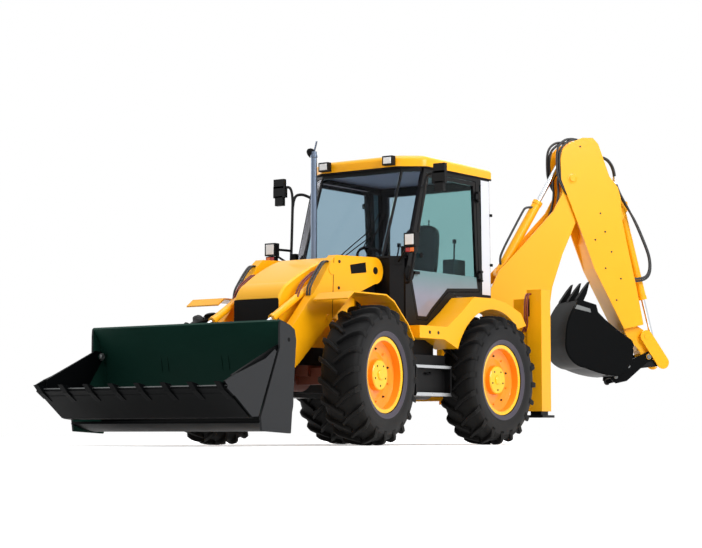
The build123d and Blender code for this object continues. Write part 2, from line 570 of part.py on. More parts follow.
# ---- fenders: rear pair with sill, front mudguards -------------------------------------------------------------
SILL_X1 = WHEELBASE - 800.0
rear_fender = [(-690, 1322), (-580, 1455), (-260, 1560), (0, 1592), (380, 1585), (640, 1400), (900, 1240), (SILL_X1, 1235), (SILL_X1, 1105), (960, 1105), (690, 1010)]
with BuildPart() as fenders:
    for h in (1, -1):
        mid = h * (FENDER_IN + FENDER_OUT) / 2
        slab(side(mid), rear_fender, FENDER_OUT - FENDER_IN)
        with BuildSketch(side(mid)) as arch:
            with Locations((0, AXLE_Z)):
                Circle(ARCH_R)
        extrude(arch.sketch, amount=FENDER_OUT, both=True, mode=Mode.SUBTRACT)
    for h in (1, -1):
        # sill bracket to the cab floor
        y0, y1 = sorted((h * 560, h * (FENDER_IN + 10)))
        block(930, 1290, y0, y1, 1180, 1250)
        y0, y1 = sorted((h * (RAIL_OUT + SEAT), h * 380))
        block(1100, 1215, y0, y1, RAIL_Z0 + 20, 1250)
        y0, y1 = sorted((h * 370, h * 570))
        block(1100, 1215, y0, y1, 1180, 1250)
save(fenders, "fenders")

GUARD_T = 14.0
guard_arc = [152, 138, 124]      # degrees about the front hub, rear end upward
guard_line = [(WHEELBASE + (GUARD_R + GUARD_T / 2) * cos(radians(a)), AXLE_Z + (GUARD_R + GUARD_T / 2) * sin(radians(a)))
              for a in guard_arc] + [(WHEELBASE - 350, 1452), (WHEELBASE - 210, 1512), (WHEELBASE + 340, 1512), (WHEELBASE + 440, 1440)]
with BuildPart() as mudguards:
    for h in (1, -1):
        with BuildSketch(side(h * (ARM_OUT + 90 + FENDER_OUT) / 2)) as guard:
            with BuildLine():
                Polyline(*guard_line)
            trace(line_width=GUARD_T)
        extrude(guard.sketch, amount=(FENDER_OUT - ARM_OUT - 90) / 2, both=True)
        # bracket under the lift ram, from the rail out to the mudguard
        y0, y1 = sorted((h * (TOWER_OUT + SEAT), h * 612))
        x0, x1 = 1430, 1490
        block(x0, x1, y0, y1, RAIL_Z0 + 15, 895)
        slab(side(h * 617), [(x0, RAIL_Z0 + 15), (x1, RAIL_Z0 + 15), (WHEELBASE - 675, 1080), (WHEELBASE - 560, 1260), (WHEELBASE - 590, 1282),
                             (WHEELBASE - 720, 1130), (x0, 1000)], 20)
save(mudguards, "mudguards")

# ---- side tanks with steps -----------------------------------------------------------------------------------------
TANK_IN = 548.0
TANK_X0 = TYRE_R + 75.0
TANK_X1 = WHEELBASE - 825.0
STEP_X1 = TANK_X1 + 35.0
with BuildPart() as side_tanks:
    for h in (1, -1):
        y0, y1 = sorted((h * TANK_IN, h * 930))
        block(TANK_X0, TANK_X1, y0, y1, 560, 940)
        y0, y1 = sorted((h * (RAIL_OUT + SEAT), h * (TANK_IN + 5)))
        block(TANK_X0 + 25, TANK_X0 + 155, y0, y1, RAIL_Z0 + 20, 920)
        y0, y1 = sorted((h * 920, h * 1010))
        block(TANK_X0 - 10, STEP_X1, y0, y1, 800, 830)
        block(TANK_X0 - 10, TANK_X0 + 15, y0, y1, 510, 830)
        block(STEP_X1 - 25, STEP_X1, y0, y1, 510, 830)
        y0, y1 = sorted((h * 640, h * 1010))
        block(TANK_X0 - 10, STEP_X1, y0, y1, 510, 545)
        y0, y1 = sorted((h * 640, h * 925))
        block(TANK_X0, TANK_X1, y0, y1, 540, 565)
save(side_tanks, "side_tanks")

# ---- cab frame ---------------------------------------------------------------------------------------------------------
CAB_TOP = ROOF_Z0 - SEAT
SILL_Z = CAB_FRONT_Z
cab_outer = [(-430, 1612), (-402, CAB_TOP), (880, CAB_TOP), (1240, 1800), (1240, SILL_Z), (560, SILL_Z), (320, 1612)]
door_outline = [(-118, 2905), (-188, 1690), (440, 1652), (760, 1410), (850, 1325), (1030, 1325), (1172, 1790), (832, 2905)]
quarter = [(-195, 2890), (-265, 1725), (-378, 1725), (-352, 2890)]
floor_sheet = [(-428, 1612), (320, 1612), (560, SILL_Z), (1240, SILL_Z), (1240, SILL_Z + 30), (575, SILL_Z + 30), (333, 1642), (-428, 1642)]
rear_wall = [(-430, 1612), (-402, CAB_TOP), (-362, CAB_TOP), (-390, 1612)]
REAR_WIN = (620.0, 1760.0, 2860.0)      # half width, bottom, top
with BuildPart() as cab_frame:
    for h in (1, -1):
        mid = h * (CAB_HALF - POST / 2)
        slab(side(mid), cab_outer, POST)
        with BuildSketch(side(mid)) as hole:
            with BuildLine():
                Polyline(*door_outline, close=True)
            make_face()
            offset(amount=DOOR_GAP, kind=Kind.INTERSECTION)
        extrude(hole.sketch, amount=POST, both=True, mode=Mode.SUBTRACT)
        slab(side(mid), quarter, 2 * POST, mode=Mode.SUBTRACT)
    slab(side(0), floor_sheet, 2 * (CAB_HALF - POST + 2))
    slab(side(0), rear_wall, 2 * (CAB_HALF - POST + 2))
    block(-600, -200, -REAR_WIN[0], REAR_WIN[0], REAR_WIN[1], REAR_WIN[2], mode=Mode.SUBTRACT)
    for x0, x1, z0, z1 in ((1225, 1312, SILL_Z, 1962), (905, 985, 2915, CAB_TOP)):
        with BuildSketch(Plane.XY.offset(z0)) as wall:
            with BuildLine():
                y0 = 600 if z0 < 2000 else 525
                Polyline((x0, -725), (x1, -y0), (x1, y0), (x0, 725))
            trace(line_width=26 if z0 < 2000 else 44)
        extrude(wall.sketch, amount=z1 - z0)
    with BuildSketch(Plane.XY.offset(1962)) as ledge:
        with BuildLine():
            Polyline((1225, -742), (1365, -535), (1365, 535), (1225, 742), (1180, 725), (1290, 500), (1290, -500), (1180, -725), close=True)
        make_face()
    extrude(ledge.sketch, amount=22)
    for h in (1, -1):
        rod((1344, h * 530, 1975), (984, h * 530, 2945), 15)
    # door hinge pins on the rear posts
    for h in (1, -1):
        for z in (1860, 2740):
            x = -202 + 70 * (z - 1690) / 1215
            u = Vector(70, 0, 1215).normalized()
            c = Vector(x, h * HINGE_Y, z)
            rod(c - u * 62, c + u * 62, 9)
            rod(c - u * 62, c - u * 36, 19)
            rod(c + u * 36, c + u * 62, 19)
            y0, y1 = sorted((h * (CAB_HALF - 4), h * (HINGE_Y + 8)))
            block(x - 34, x - 8, y0, y1, z - 60, z - 38)
            block(x - 34, x - 8, y0, y1, z + 38, z + 60)
save(cab_frame, "cab_frame")

with BuildPart() as cab_roof:
    with BuildSketch(Plane.XY.offset(ROOF_Z0)) as plan:
        with BuildLine():
            Polyline((-480, -755), (870, -770), (1060, -520), (1060, 520), (870, 770), (-480, 755), close=True)
        make_face()
        fillet(plan.vertices(), 40)
    extrude(plan.sketch, amount=ROOF_Z1 - ROOF_Z0)
    chamfer(cab_roof.faces().sort_by(Axis.Z)[-1].edges(), 36)
save(cab_roof, "cab_roof")

# ---- fixed cab glass ------------------------------------------------------------------------------------------------------
with BuildPart() as cab_glass:
    for h in (1, -1):
        with BuildSketch(side(h * 720)) as pane:
            with BuildLine():
                Polyline(*quarter, close=True)
            make_face()
            offset(amount=-SEAT, kind=Kind.INTERSECTION)
        extrude(pane.sketch, amount=GLASS / 2, both=True)
    w, z0, z1 = REAR_WIN
    slab(side(0), [(-404, z0 + SEAT), (-381, z1 - SEAT), (-381 + GLASS, z1 - SEAT), (-404 + GLASS, z0 + SEAT)], 2 * (w - SEAT))
    slab(side(0), [(1354, 1984 + SEAT), (1354 + GLASS, 1984 + SEAT), (1009 + GLASS, 2914), (1009, 2914)], 2 * 514)
    for h in (1, -1):
        with BuildSketch(Plane.XY.offset(1984 + SEAT)) as low:
            with BuildLine():
                Polyline((1350, h * 547), (1204, h * 722), (1204 - GLASS, h * 722), (1350 - GLASS, h * 547), close=True)
            make_face()
        with BuildSketch(Plane.XY.offset(2915 - SEAT)) as high:
            with BuildLine():
                Polyline((1005, h * 547), (912, h * 722), (912 - GLASS, h * 722), (1005 - GLASS, h * 547), close=True)
            make_face()
        loft([low.sketch, high.sketch])
save(cab_glass, "cab_glass")

# ---- doors: frame and pane ---------------------------------------------------------------------------------------------------
pane_outline = [(-72, 2860), (-138, 1845), (470, 1845), (1118, 1845), (798, 2860)]
low_pane = [(480, 1790), (810, 1480), (870, 1400), (990, 1400), (1112, 1790)]
DOOR_Y0, DOOR_Y1 = 714.0, 748.0
for name, h in (("left", 1), ("right", -1)):
    mid = h * (DOOR_Y0 + DOOR_Y1) / 2
    with BuildPart() as door:
        slab(side(mid), door_outline, DOOR_Y1 - DOOR_Y0)
        slab(side(mid), pane_outline, 80, mode=Mode.SUBTRACT)
        slab(side(mid), low_pane, 80, mode=Mode.SUBTRACT)
        for z in (1860, 2740):
            x = -202 + 70 * (z - 1690) / 1215
            u = Vector(70, 0, 1215).normalized()
            c = Vector(x, h * HINGE_Y, z)
            rod(c - u * 34, c + u * 34, 18)
            y0, y1 = sorted((h * (HINGE_Y - 12), h * (HINGE_Y + 10)))
            block(x, x + 58, y0, y1, z - 28, z + 28)
            y0, y1 = sorted((h * (DOOR_Y1 - 4), h * (HINGE_Y - 8)))
            block(x + 20, x + 58, y0, y1, z - 28, z + 28)
            rod(c - u * 40, c + u * 40, 9 + PIN_GAP, mode=Mode.SUBTRACT)
        y0, y1 = sorted((h * (DOOR_Y1 - 2), h * 782))
        block(1020, 1110, y0, y1, 1800, 1830)
    save(door, "door_" + name)
    with BuildPart() as pane:
        for outline in (pane_outline, low_pane):
            with BuildSketch(side(mid)) as sk:
                with BuildLine():
                    Polyline(*outline, close=True)
                make_face()
                offset(amount=-SEAT, kind=Kind.INTERSECTION)
            extrude(sk.sketch, amount=GLASS / 2, both=True)
    save(pane, "door_pane_" + name)

# ---- cab interior ---------------------------------------------------------------------------------------------------------------
FLOOR_LOW = SILL_Z + 30 + SEAT
FLOOR_HIGH = 1642 + SEAT
with BuildPart() as cab_interior:
    slab(side(0), [(1150, FLOOR_LOW), (1298 - SEAT, FLOOR_LOW), (1298 - SEAT, 1940), (1180, 1940), (1090, 1880)], 420)
    rod((1110, 0, 1700), (800, 0, 2010), 28)
    wheel_plane = Plane(origin=(800, 0, 2010), z_dir=(-310, 0, 310))
    with BuildSketch(wheel_plane) as sk:
        Circle(190)
        Circle(166, mode=Mode.SUBTRACT)
        Rectangle(350, 34)
        Circle(45)
    extrude(sk.sketch, amount=12, both=True)
    for h in (1, -1):
        block(-330, -90, *sorted((h * 330, h * 470)), FLOOR_HIGH, 2060)
        rod((-210, h * 400, 2050), (-250, h * 380, 2260), 9)
        rod((-250, h * 380, 2255), (-250, h * 380, 2300), 22)
save(cab_interior, "cab_interior")

with BuildPart() as driver_chair:
    block(-40, 250, -170, 170, FLOOR_HIGH, 1800)
    block(-110, 390, -250, 250, 1790, 1900)
    slab(side(0), [(-170, 1840), (-40, 1850), (-110, 2480), (-150, 2560), (-215, 2540)], 440, round_r=18)
save(driver_chair, "driver_chair")

# ---- exhaust, lamps, mirrors ------------------------------------------------------------------------------------------------------
EXHAUST = (1418.0, -330.0)
with BuildPart() as exhaust_stack:
    rod((EXHAUST[0], EXHAUST[1], 1984.1), (EXHAUST[0], EXHAUST[1], 3160), 34)
save(exhaust_stack, "exhaust_stack")

with BuildPart() as lamps:
    for h in (1, -1):
        with BuildSketch(Plane.XY.offset(1892)) as pad:
            with BuildLine():
                Polyline((1253.6, h * 707.2), (1287.8, h * 658.0), (1300.0, h * 666.5), (1265.8, h * 715.7), close=True)
            make_face()
        extrude(pad.sketch, amount=64)
        rod((1281, h * 690, 1925), (1400, h * 905, 2085), 12)
        block(1352, 1432, *sorted((h * 860, h * 1000)), 2060, 2200)
        block(1360, 1424, *sorted((h * 870, h * 990)), 1995, 2052)
        block(1380, 1410, *sorted((h * 920, h * 940)), 2045, 2065)
        block(1060 + SEAT, 1125, *sorted((h * 365, h * 495)), 2985, 3085)
        block(-545, -480 - SEAT, *sorted((h * 365, h * 495)), 2985, 3085)
save(lamps, "lamps")

with BuildPart() as mirrors:
    for h in (1, -1):
        rod((1232, h * (CAB_HALF + SEAT), 1700), (1232, h * 800, 1700), 12)
        rod((1232, h * 800, 1690), (1090, h * 880, 2640), 12)
        rod((1090, h * 880, 2628), (935, h * (CAB_HALF + 12), 2740), 11)
        rod((1090, h * 880, 2640), (1075, h * 1010, 2810), 10)
        block(1045, 1100, *sorted((h * 985, h * 1155)), 2650, 2960)
save(mirrors, "mirrors")

# ---- rear frame: slide rails, side plates, stabiliser boxes -----------------------------------------------------------------
BOX_IN_X = (LEG_X0 + LEG_WALL, LEG_X1 - LEG_WALL)
BOX_IN_Y = (LEG_Y0 + LEG_WALL, LEG_Y1 - LEG_WALL)
LEG_GAP = 0.5
with BuildPart() as rear_frame:
    for z in (RAIL_LOW, RAIL_TOP):
        block(REAR_X0, REAR_X1 - 40, -LEG_Y0, LEG_Y0, z - SLIDE_H / 2, z + SLIDE_H / 2)
    for h in (1, -1):
        y0, y1 = sorted((h * 780, h * (LEG_Y0 + 2)))
        block(REAR_X0 + 20, REAR_X1, y0, y1, RAIL_LOW - 40, 1640)
        y0, y1 = sorted((h * RAIL_IN, h * RAIL_OUT))
        block(REAR_X0 + 20, RAIL_X0 - SEAT, y0, y1, RAIL_LOW, RAIL_TOP)
        y0, y1 = sorted((h * LEG_Y0, h * LEG_Y1))
        block(LEG_X0, LEG_X1, y0, y1, LEG_Z0, LEG_Z1)
        y0, y1 = sorted((h * BOX_IN_Y[0], h * BOX_IN_Y[1]))
        block(BOX_IN_X[0], BOX_IN_X[1], y0, y1, LEG_Z0 - 1, LEG_Z1 - LEG_WALL, mode=Mode.SUBTRACT)
    block(REAR_X0 + 20, RAIL_X0 - SEAT, -RAIL_OUT, RAIL_OUT, 860, 940)
save(rear_frame, "rear_frame")

for name, h in (("left", 1), ("right", -1)):
    with BuildPart() as leg:
        y0, y1 = sorted((h * (BOX_IN_Y[0] + LEG_GAP), h * (BOX_IN_Y[1] - LEG_GAP)))
        block(BOX_IN_X[0] + LEG_GAP, BOX_IN_X[1] - LEG_GAP, y0, y1, FOOT_Z + 24, 1180)
        yc = h * (LEG_Y0 + LEG_Y1) / 2
        block((LEG_X0 + LEG_X1) / 2 - 130, (LEG_X0 + LEG_X1) / 2 + 130, yc - 120, yc + 120, FOOT_Z, FOOT_Z + 28)
    save(leg, "stabiliser_leg_" + name)

# ---- backhoe carriage: side-shifting frame with the slew pins ------------------------------------------------------------------
SLEW_PIN_R = 42.0
EAR_Z = (620.0, 1180.0)          # centre heights of the two slew ears
EAR_T = 70.0
with BuildPart() as hoe_carriage:
    block(-1120, REAR_X0 - SEAT, -330, 330, RAIL_LOW - SLIDE_H / 2 - 40, RAIL_TOP + SLIDE_H / 2 + 40)
    for z in (RAIL_LOW - SLIDE_H / 2 - 20 - SEAT, RAIL_TOP + SLIDE_H / 2 + 20 + SEAT):
        block(-1060, REAR_X0 + 60, -330, 330, z - 20, z + 20)
    for z in EAR_Z:
        ear = Plane(origin=((SLEW_X - 1110) / 2, 0, z), x_dir=(1, 0, 0), z_dir=(0, 0, 1))
        with BuildSketch(Plane.XY.offset(z)) as plate:
            with BuildLine():
                Polyline((-1110, -150), (SLEW_X, -85), (SLEW_X, 85), (-1110, 150), close=True)
            make_face()
            with Locations((SLEW_X, 0)):
                Circle(85)
        extrude(plate.sketch, amount=EAR_T / 2, both=True)
        rod((SLEW_X, 0, z - EAR_T), (SLEW_X, 0, z + EAR_T), SLEW_PIN_R + PIN_GAP, mode=Mode.SUBTRACT)
save(hoe_carriage, "hoe_carriage")

# ---- swing post ---------------------------------------------------------------------------------------------------------------------
CHEEK = 24.0
CHEEK_N = BOOM_HALF + CLEAR + CHEEK / 2
with BuildPart() as swing_post:
    z0, z1 = EAR_Z[0] + EAR_T / 2 + CLEAR, EAR_Z[1] - EAR_T / 2 - CLEAR
    rod((SLEW_X, 0, z0), (SLEW_X, 0, z1), 78)
    rod((SLEW_X, 0, EAR_Z[0] - EAR_T / 2 - 10), (SLEW_X, 0, EAR_Z[1] + EAR_T / 2 + 10), SLEW_PIN_R)
    for k in (1, -1):
        with BuildSketch(hoe(k * CHEEK_N)) as plate:
            with BuildLine():
                Polyline((0, z0), (0, z1), (110, z1), (330, 900), (560, 800), (660, 700), (560, 600), (300, z0), close=True)
            make_face()
            with Locations(BOOM_FOOT):
                Circle(100)
        extrude(plate.sketch, amount=CHEEK / 2, both=True)
        slab(hoe(k * (CHEEK_N / 2 + 15)), [(-35, z0), (-35, z1), (30, z1), (30, z0)], CHEEK_N + 18)
    disc(hoe(), BOOM_FOOT, 40, 2 * CHEEK_N + CHEEK + 20)
    disc(hoe(), BOOM_BASE_PIN, PIN_R, 2 * CHEEK_N)
save(swing_post, "swing_post")

# ---- boom: two side plates with a core set in from the front edge -----------------------------------------------------------------------
boom_plate = [(470, 625), (230, 900), (142, 1080), (142, 1275), (84, 1420), (84, 1790), (197, 2030), (560, 2405), (902, 2770), (1020, 2980), (1010, 3180),
              (1075, 3285), (1200, 3290), (1265, 3180), (1262, 2960), (1200, 2664), (1017, 2260), (880, 1860), (790, 1300),
              (690, 760), (640, 625)]
boom_core = [(560, 780), (480, 1100), (420, 1400), (360, 1650), (390, 1980), (620, 2290), (930, 2620), (1050, 2860), (1075, 3030), (1200, 3030), (1262, 2960),
             (1200, 2664), (1017, 2260), (880, 1860), (790, 1300), (700, 880)]
PLATE_T = 20.0
with BuildPart() as boom:
    for k in (1, -1):
        slab(hoe(k * (BOOM_HALF - PLATE_T / 2)), boom_plate, PLATE_T, round_r=16)
    slab(hoe(), boom_core, 2 * (BOOM_HALF - PLATE_T) + 2)
    disc(hoe(), BOOM_FOOT, 85, 2 * BOOM_HALF)
    disc(hoe(), DIPPER_PIN, 68, 2 * BOOM_HALF)
    for k in (1, -1):
        disc(hoe(k * (BOOM_HALF - PLATE_T / 2)), DIPPER_PIN, 95, PLATE_T)
        disc(hoe(k * (BOOM_HALF + 56) / 2), BOOM_EYE, PIN_R, BOOM_HALF - 56)
    disc(hoe(), CROWD_BASE, PIN_R, 2 * BOOM_HALF)
    disc(hoe(), BOOM_FOOT, 40 + PIN_GAP, 400, mode=Mode.SUBTRACT)
    disc(hoe(), DIPPER_PIN, 38 + PIN_GAP, 400, mode=Mode.SUBTRACT)
save(boom, "boom")

# ---- dipper: side plates that straddle the boom head, and the outer box below --------------------------------------------------------------
dipper_plate = [(995, 3150), (985, 3400), (1010, 3510), (1094, 3590), (1270, 3668), (1410, 3673), (1482, 3600), (1624, 3214), (1735, 3085),
                (1770, 2960), (1785, 2700), (1870, 2300), (1965, 1880), (2053, 1430), (1795, 1375), (1416, 2089), (1204, 2639), (1087, 2925)]
dipper_core = [(1440, 3580), (1482, 3600), (1624, 3214), (1735, 3085), (1770, 2960), (1785, 2700), (1870, 2300), (1965, 1880),
               (2053, 1430), (1795, 1375), (1416, 2089), (1330, 2400), (1420, 3000)]
EXT_TUBE = 82.0
EXT_A = (1520.0, 2420.0)          # axis of the sliding extension, upper end
ext_u = (HOE_PIN[0] - 120 - EXT_A[0], HOE_PIN[1] + 100 - EXT_A[1])
ext_n = hypot(*ext_u)
ext_u = (ext_u[0] / ext_n, ext_u[1] / ext_n)
CURL_EAR = 66.0
EXT_W = 95.0                      # half depth of the sliding section


def along(d, w):
    """Point d down the extension's axis and w to its rear side."""
    return (EXT_A[0] + ext_u[0] * d - ext_u[1] * w, EXT_A[1] + ext_u[1] * d + ext_u[0] * w)


with BuildPart() as dipper:
    for k in (1, -1):
        slab(hoe(k * (DIP_HALF - (DIP_HALF - DIP_IN) / 2)), dipper_plate, DIP_HALF - DIP_IN, round_r=14)
    slab(hoe(), dipper_core, 2 * DIP_IN + 2)
    disc(hoe(), DIPPER_PIN, 38, 2 * DIP_HALF)
    for k in (1, -1):
        disc(hoe(k * (DIP_HALF + 51) / 2), CROWD_EYE, PIN_R, DIP_HALF - 51)
    slab(hoe(), [along(-12, -EXT_W - 1), (1560, 2735), (1730, 3015), (2300, 3015), (2700, 900), along(1800, -EXT_W - 1)],
         2 * (NOSE_HALF + 1), mode=Mode.SUBTRACT)
save(dipper, "dipper")

with BuildPart() as dipper_extension:
    slab(hoe(), [along(0, -EXT_W), along(0, EXT_W), along(1120, EXT_W), (2110, 1360), (2168, 1290), (2226, 1180), (2215, 1040), (2150, 970), (2075, 1000), (2030, 1120), along(1150, -EXT_W)],
         2 * NOSE_HALF)
    disc(hoe(), HOE_PIN, 80, 2 * NOSE_HALF)
    disc(hoe(), HOE_PIN, 34, 2 * (HITCH_Y[1] + 4))
    disc(hoe(), LEVER_PIN, PIN_R, 2 * (LEVER_Y[1] + 4))
    for k in (1, -1):
        slab(hoe(k * CURL_EAR), [along(10, -60), (1590, 2710), (1790, 2950), (1900, 2925), (1912, 2840), (1790, 2620), along(200, 40)], 22)
    disc(hoe(), CURL_BASE, PIN_R - 4, 2 * CURL_EAR + 22)
save(dipper_extension, "dipper_extension")

# ---- bucket linkage -----------------------------------------------------------------------------------------------------------------------------
with BuildPart() as tipping_lever:
    for k in (1, -1):
        n = k * (LEVER_Y[0] + LEVER_Y[1]) / 2
        strap(hoe(n), LEVER_PIN, LEVER_EYE, 78, LEVER_Y[1] - LEVER_Y[0])
        disc(hoe(n), LEVER_PIN, PIN_R + PIN_GAP, 60, mode=Mode.SUBTRACT)
        disc(hoe(k * (LEVER_Y[0] + 45) / 2), LEVER_EYE, PIN_R - 4, LEVER_Y[0] - 43)
save(tipping_lever, "tipping_lever")

with BuildPart() as tipping_link:
    for k in (1, -1):
        n = k * (LINK_Y[0] + LINK_Y[1]) / 2
        strap(hoe(n), LEVER_EYE, LINK_EYE, 42, LINK_Y[1] - LINK_Y[0])
        disc(hoe(n), LEVER_EYE, PIN_R - 4 + PIN_GAP, 40, mode=Mode.SUBTRACT)
    disc(hoe(), LINK_EYE, 26, 2 * LINK_Y[1] + 2)
save(tipping_link, "tipping_link")

# ---- hoe bucket ------------------------------------------------------------------------------------------------------------------------------------
hoe_back = [             # lip to hinge end of the back sheet
    ((1150, 1690), (1005, 1420), (985, 1250)), ((985, 1250), (1030, 1020), (1230, 905)), ((1230, 905), (1400, 850), (1640, 815)),
    ((1640, 815), (1720, 860), (1840, 1130)),
]
hoe_edge = [(1840, 1130), (1858, 1175), (1830, 1235), (1660, 1340), (1480, 1480), (1395, 1560), (1370, 1650), (1190, 1700), (1150, 1690)]   # free edge of the side plates
with BuildPart() as hoe_bucket:
    with BuildSketch(hoe()) as sheet:
        with BuildLine():
            for a, m, b in hoe_back:
                ThreePointArc(a, m, b)
        trace(line_width=24)
    extrude(sheet.sketch, amount=HOE_HALF - 8, both=True)
    for k in (1, -1):
        with BuildSketch(hoe(k * (HOE_HALF - 9))) as plate:
            with BuildLine():
                for a, m, b in hoe_back:
                    ThreePointArc(a, m, b)
                Polyline(*hoe_edge)
            make_face()
        extrude(plate.sketch, amount=9, both=True)
        n = k * (HITCH_Y[0] + HITCH_Y[1]) / 2
        with BuildSketch(hoe(n)) as bar:
            with BuildLine():
                Polyline((2130, 990), (1840, 752), (1700, 722), (1640, 762), (1650, 850), (1830, 985), (1900, 1010), (2130, 1108), close=True)
            make_face()
            with Locations(HOE_PIN):
                Circle(60)
        extrude(bar.sketch, amount=(HITCH_Y[1] - HITCH_Y[0]) / 2, both=True)
        disc(hoe(n), HOE_PIN, 34 + PIN_GAP, 60, mode=Mode.SUBTRACT)
        disc(hoe(k * (HITCH_Y[1] + 1)), LINK_EYE, 26, 10)
    for n in (-HOE_HALF + 60, 0, HOE_HALF - 60):
        slab(hoe(n), [(1105, 1600), (1165, 1585), (1260, 1780), (1300, 1925), (1235, 1850), (1140, 1720)], 70)
save(hoe_bucket, "hoe_bucket")

# ---- backhoe rams --------------------------------------------------------------------------------------------------------------------------------------
hoe_rams = [             # name, base pin, eye pin, barrel length, rod's inner end, barrel radius, rod radius, eye radius, width, base pin and eye pin radius
    ("boom_ram", BOOM_BASE_PIN, BOOM_EYE, 800, 120, 60, 34, 60, 100, PIN_R, PIN_R),
    ("crowd_ram", CROWD_BASE, CROWD_EYE, 1010, 545, 56, 30, 55, 90, PIN_R, PIN_R),
    ("curl_ram", CURL_BASE, LEVER_EYE, 1180, 625, 48, 27, 48, 74, PIN_R - 4, PIN_R - 4),
]
for name, base, eye, length, start, r, rr, eye_r, width, pin_a, pin_b in hoe_rams:
    with BuildPart() as barrel:
        ram_barrel(hoe(), base, eye, length, r, eye_r, width)
        ram_bore(hoe(), base, eye, length, rr + PIN_GAP, eye_r)
        disc(hoe(), base, pin_a + PIN_GAP, 2 * width, mode=Mode.SUBTRACT)
    save(barrel, name + "_barrel")
    with BuildPart() as shaft:
        ram_rod(hoe(), base, eye, start, rr, eye_r, width)
        disc(hoe(), eye, pin_b, width + 6)
    save(shaft, name + "_rod")
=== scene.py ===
"""Backhoe loader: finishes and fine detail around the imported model. Metres, +X forward, +Y left, +Z up."""
from math import cos, pi, radians, sin, tau

import bpy
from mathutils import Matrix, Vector


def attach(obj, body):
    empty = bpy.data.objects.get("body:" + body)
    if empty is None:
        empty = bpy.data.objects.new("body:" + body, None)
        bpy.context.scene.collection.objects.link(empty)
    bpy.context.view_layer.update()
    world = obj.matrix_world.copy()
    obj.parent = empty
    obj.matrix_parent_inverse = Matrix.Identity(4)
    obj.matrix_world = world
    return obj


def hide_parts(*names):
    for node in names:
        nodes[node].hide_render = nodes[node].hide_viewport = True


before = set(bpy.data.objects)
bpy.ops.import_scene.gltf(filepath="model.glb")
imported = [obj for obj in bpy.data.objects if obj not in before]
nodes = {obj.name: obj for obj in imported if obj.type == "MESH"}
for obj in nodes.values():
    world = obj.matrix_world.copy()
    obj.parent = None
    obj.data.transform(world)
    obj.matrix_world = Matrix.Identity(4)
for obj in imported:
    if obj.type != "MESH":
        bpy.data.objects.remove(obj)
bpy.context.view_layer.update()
scene = bpy.context.scene

# ---- sizes shared with the part's source, in metres ---------------------
WHEELBASE, HALF_TRACK, AXLE_Z = 2.220, 0.975, 0.700
KINGPIN_Y, STEER = 0.820, radians(7)        # the front wheels stand turned this far to the left
SLEW_X, SLEW = -1.360, radians(36)          # the boom stands slewed this far to the left
HOE_SIDEWAYS = Vector((sin(SLEW), cos(SLEW), 0))     # straight out of the boom's plane
ARM_OUT = 0.530                             # outer face of the loader arms
BUCKET_HALF, CLAM_PIN = 1.200, (3.840, 0.880)
CAB_HALF, CAB_FRONT_Z = 0.750, 1.990        # the cab's side, and the foot of its windscreen
LEG_FRONT_X = -0.850                        # front face of the stabiliser boxes
DIPPER_HALF, DIPPER_PIN = 0.165, (1.140, 3.170)
HITCH_HALF, HOE_HALF = 0.130, 0.300
HITCH_PIN, LINK_EYE, HOE_PIN = (1.695, 0.802), (1.860, 0.932), (2.136, 1.047)

UP = Vector((0, 0, 1))
SIDES = (("left", 1), ("right", -1))        # each side's name, and its hand: the sign of its y

# ---- finishes -----------------------------------------------------------
PATCH_DETAIL, GRAIN_DETAIL, GRAIN_DEPTH = 5, 3, 0.002
GLOSS_SPREAD = (-0.06, 0.08)                # how far the roughness strays in the patches
COAT_ROUGH, EDGE_SAMPLES = 0.08, 4
DUST_COLOUR, DUST_SCALE, DUST_DETAIL = (150, 138, 118), 9, 8
DUST_TOP = 1.1                              # height at which the dust has faded out


def rgb(r, g, b):
    """Linear colour of an 8-bit display colour."""
    def lin(v):
        v /= 255
        return v / 12.92 if v <= 0.04045 else ((v + 0.055) / 1.055) ** 2.4
    return (lin(r), lin(g), lin(b), 1.0)


def node(tree, kind, inputs=(), **settings):
    """Adds a shader node. inputs maps each socket to a value, or to the output that feeds it."""
    made = tree.nodes.new("ShaderNode" + kind)
    for key, value in settings.items():
        setattr(made, key, value)
    for key, value in dict(inputs).items():
        if isinstance(value, bpy.types.NodeSocket):
            tree.links.new(value, made.inputs[key])
        else:
            made.inputs[key].default_value = value
    return made


def noise(tree, place, scale, detail):
    return node(tree, "TexNoise", {"Vector": place, "Scale": scale, "Detail": detail}).outputs["Fac"]


def ramp(tree, value, start, end, low=0.0, high=1.0):
    """Takes a value from start..end to low..high."""
    span = {"Value": value, "From Min": start, "From Max": end, "To Min": low, "To Max": high}
    return node(tree, "MapRange", span).outputs["Result"]


def maths(tree, operation, a, b):
    return node(tree, "Math", {0: a, 1: b}, operation=operation).outputs[0]


def blend(tree, amount, a, b):
    """Colour that is a where amount is 0, and b where it is 1."""
    return node(tree, "Mix", {"Factor": amount, "A": a, "B": b}, data_type="RGBA").outputs["Result"]


def height(tree, place):
    return node(tree, "SeparateXYZ", {0: place}).outputs["Z"]


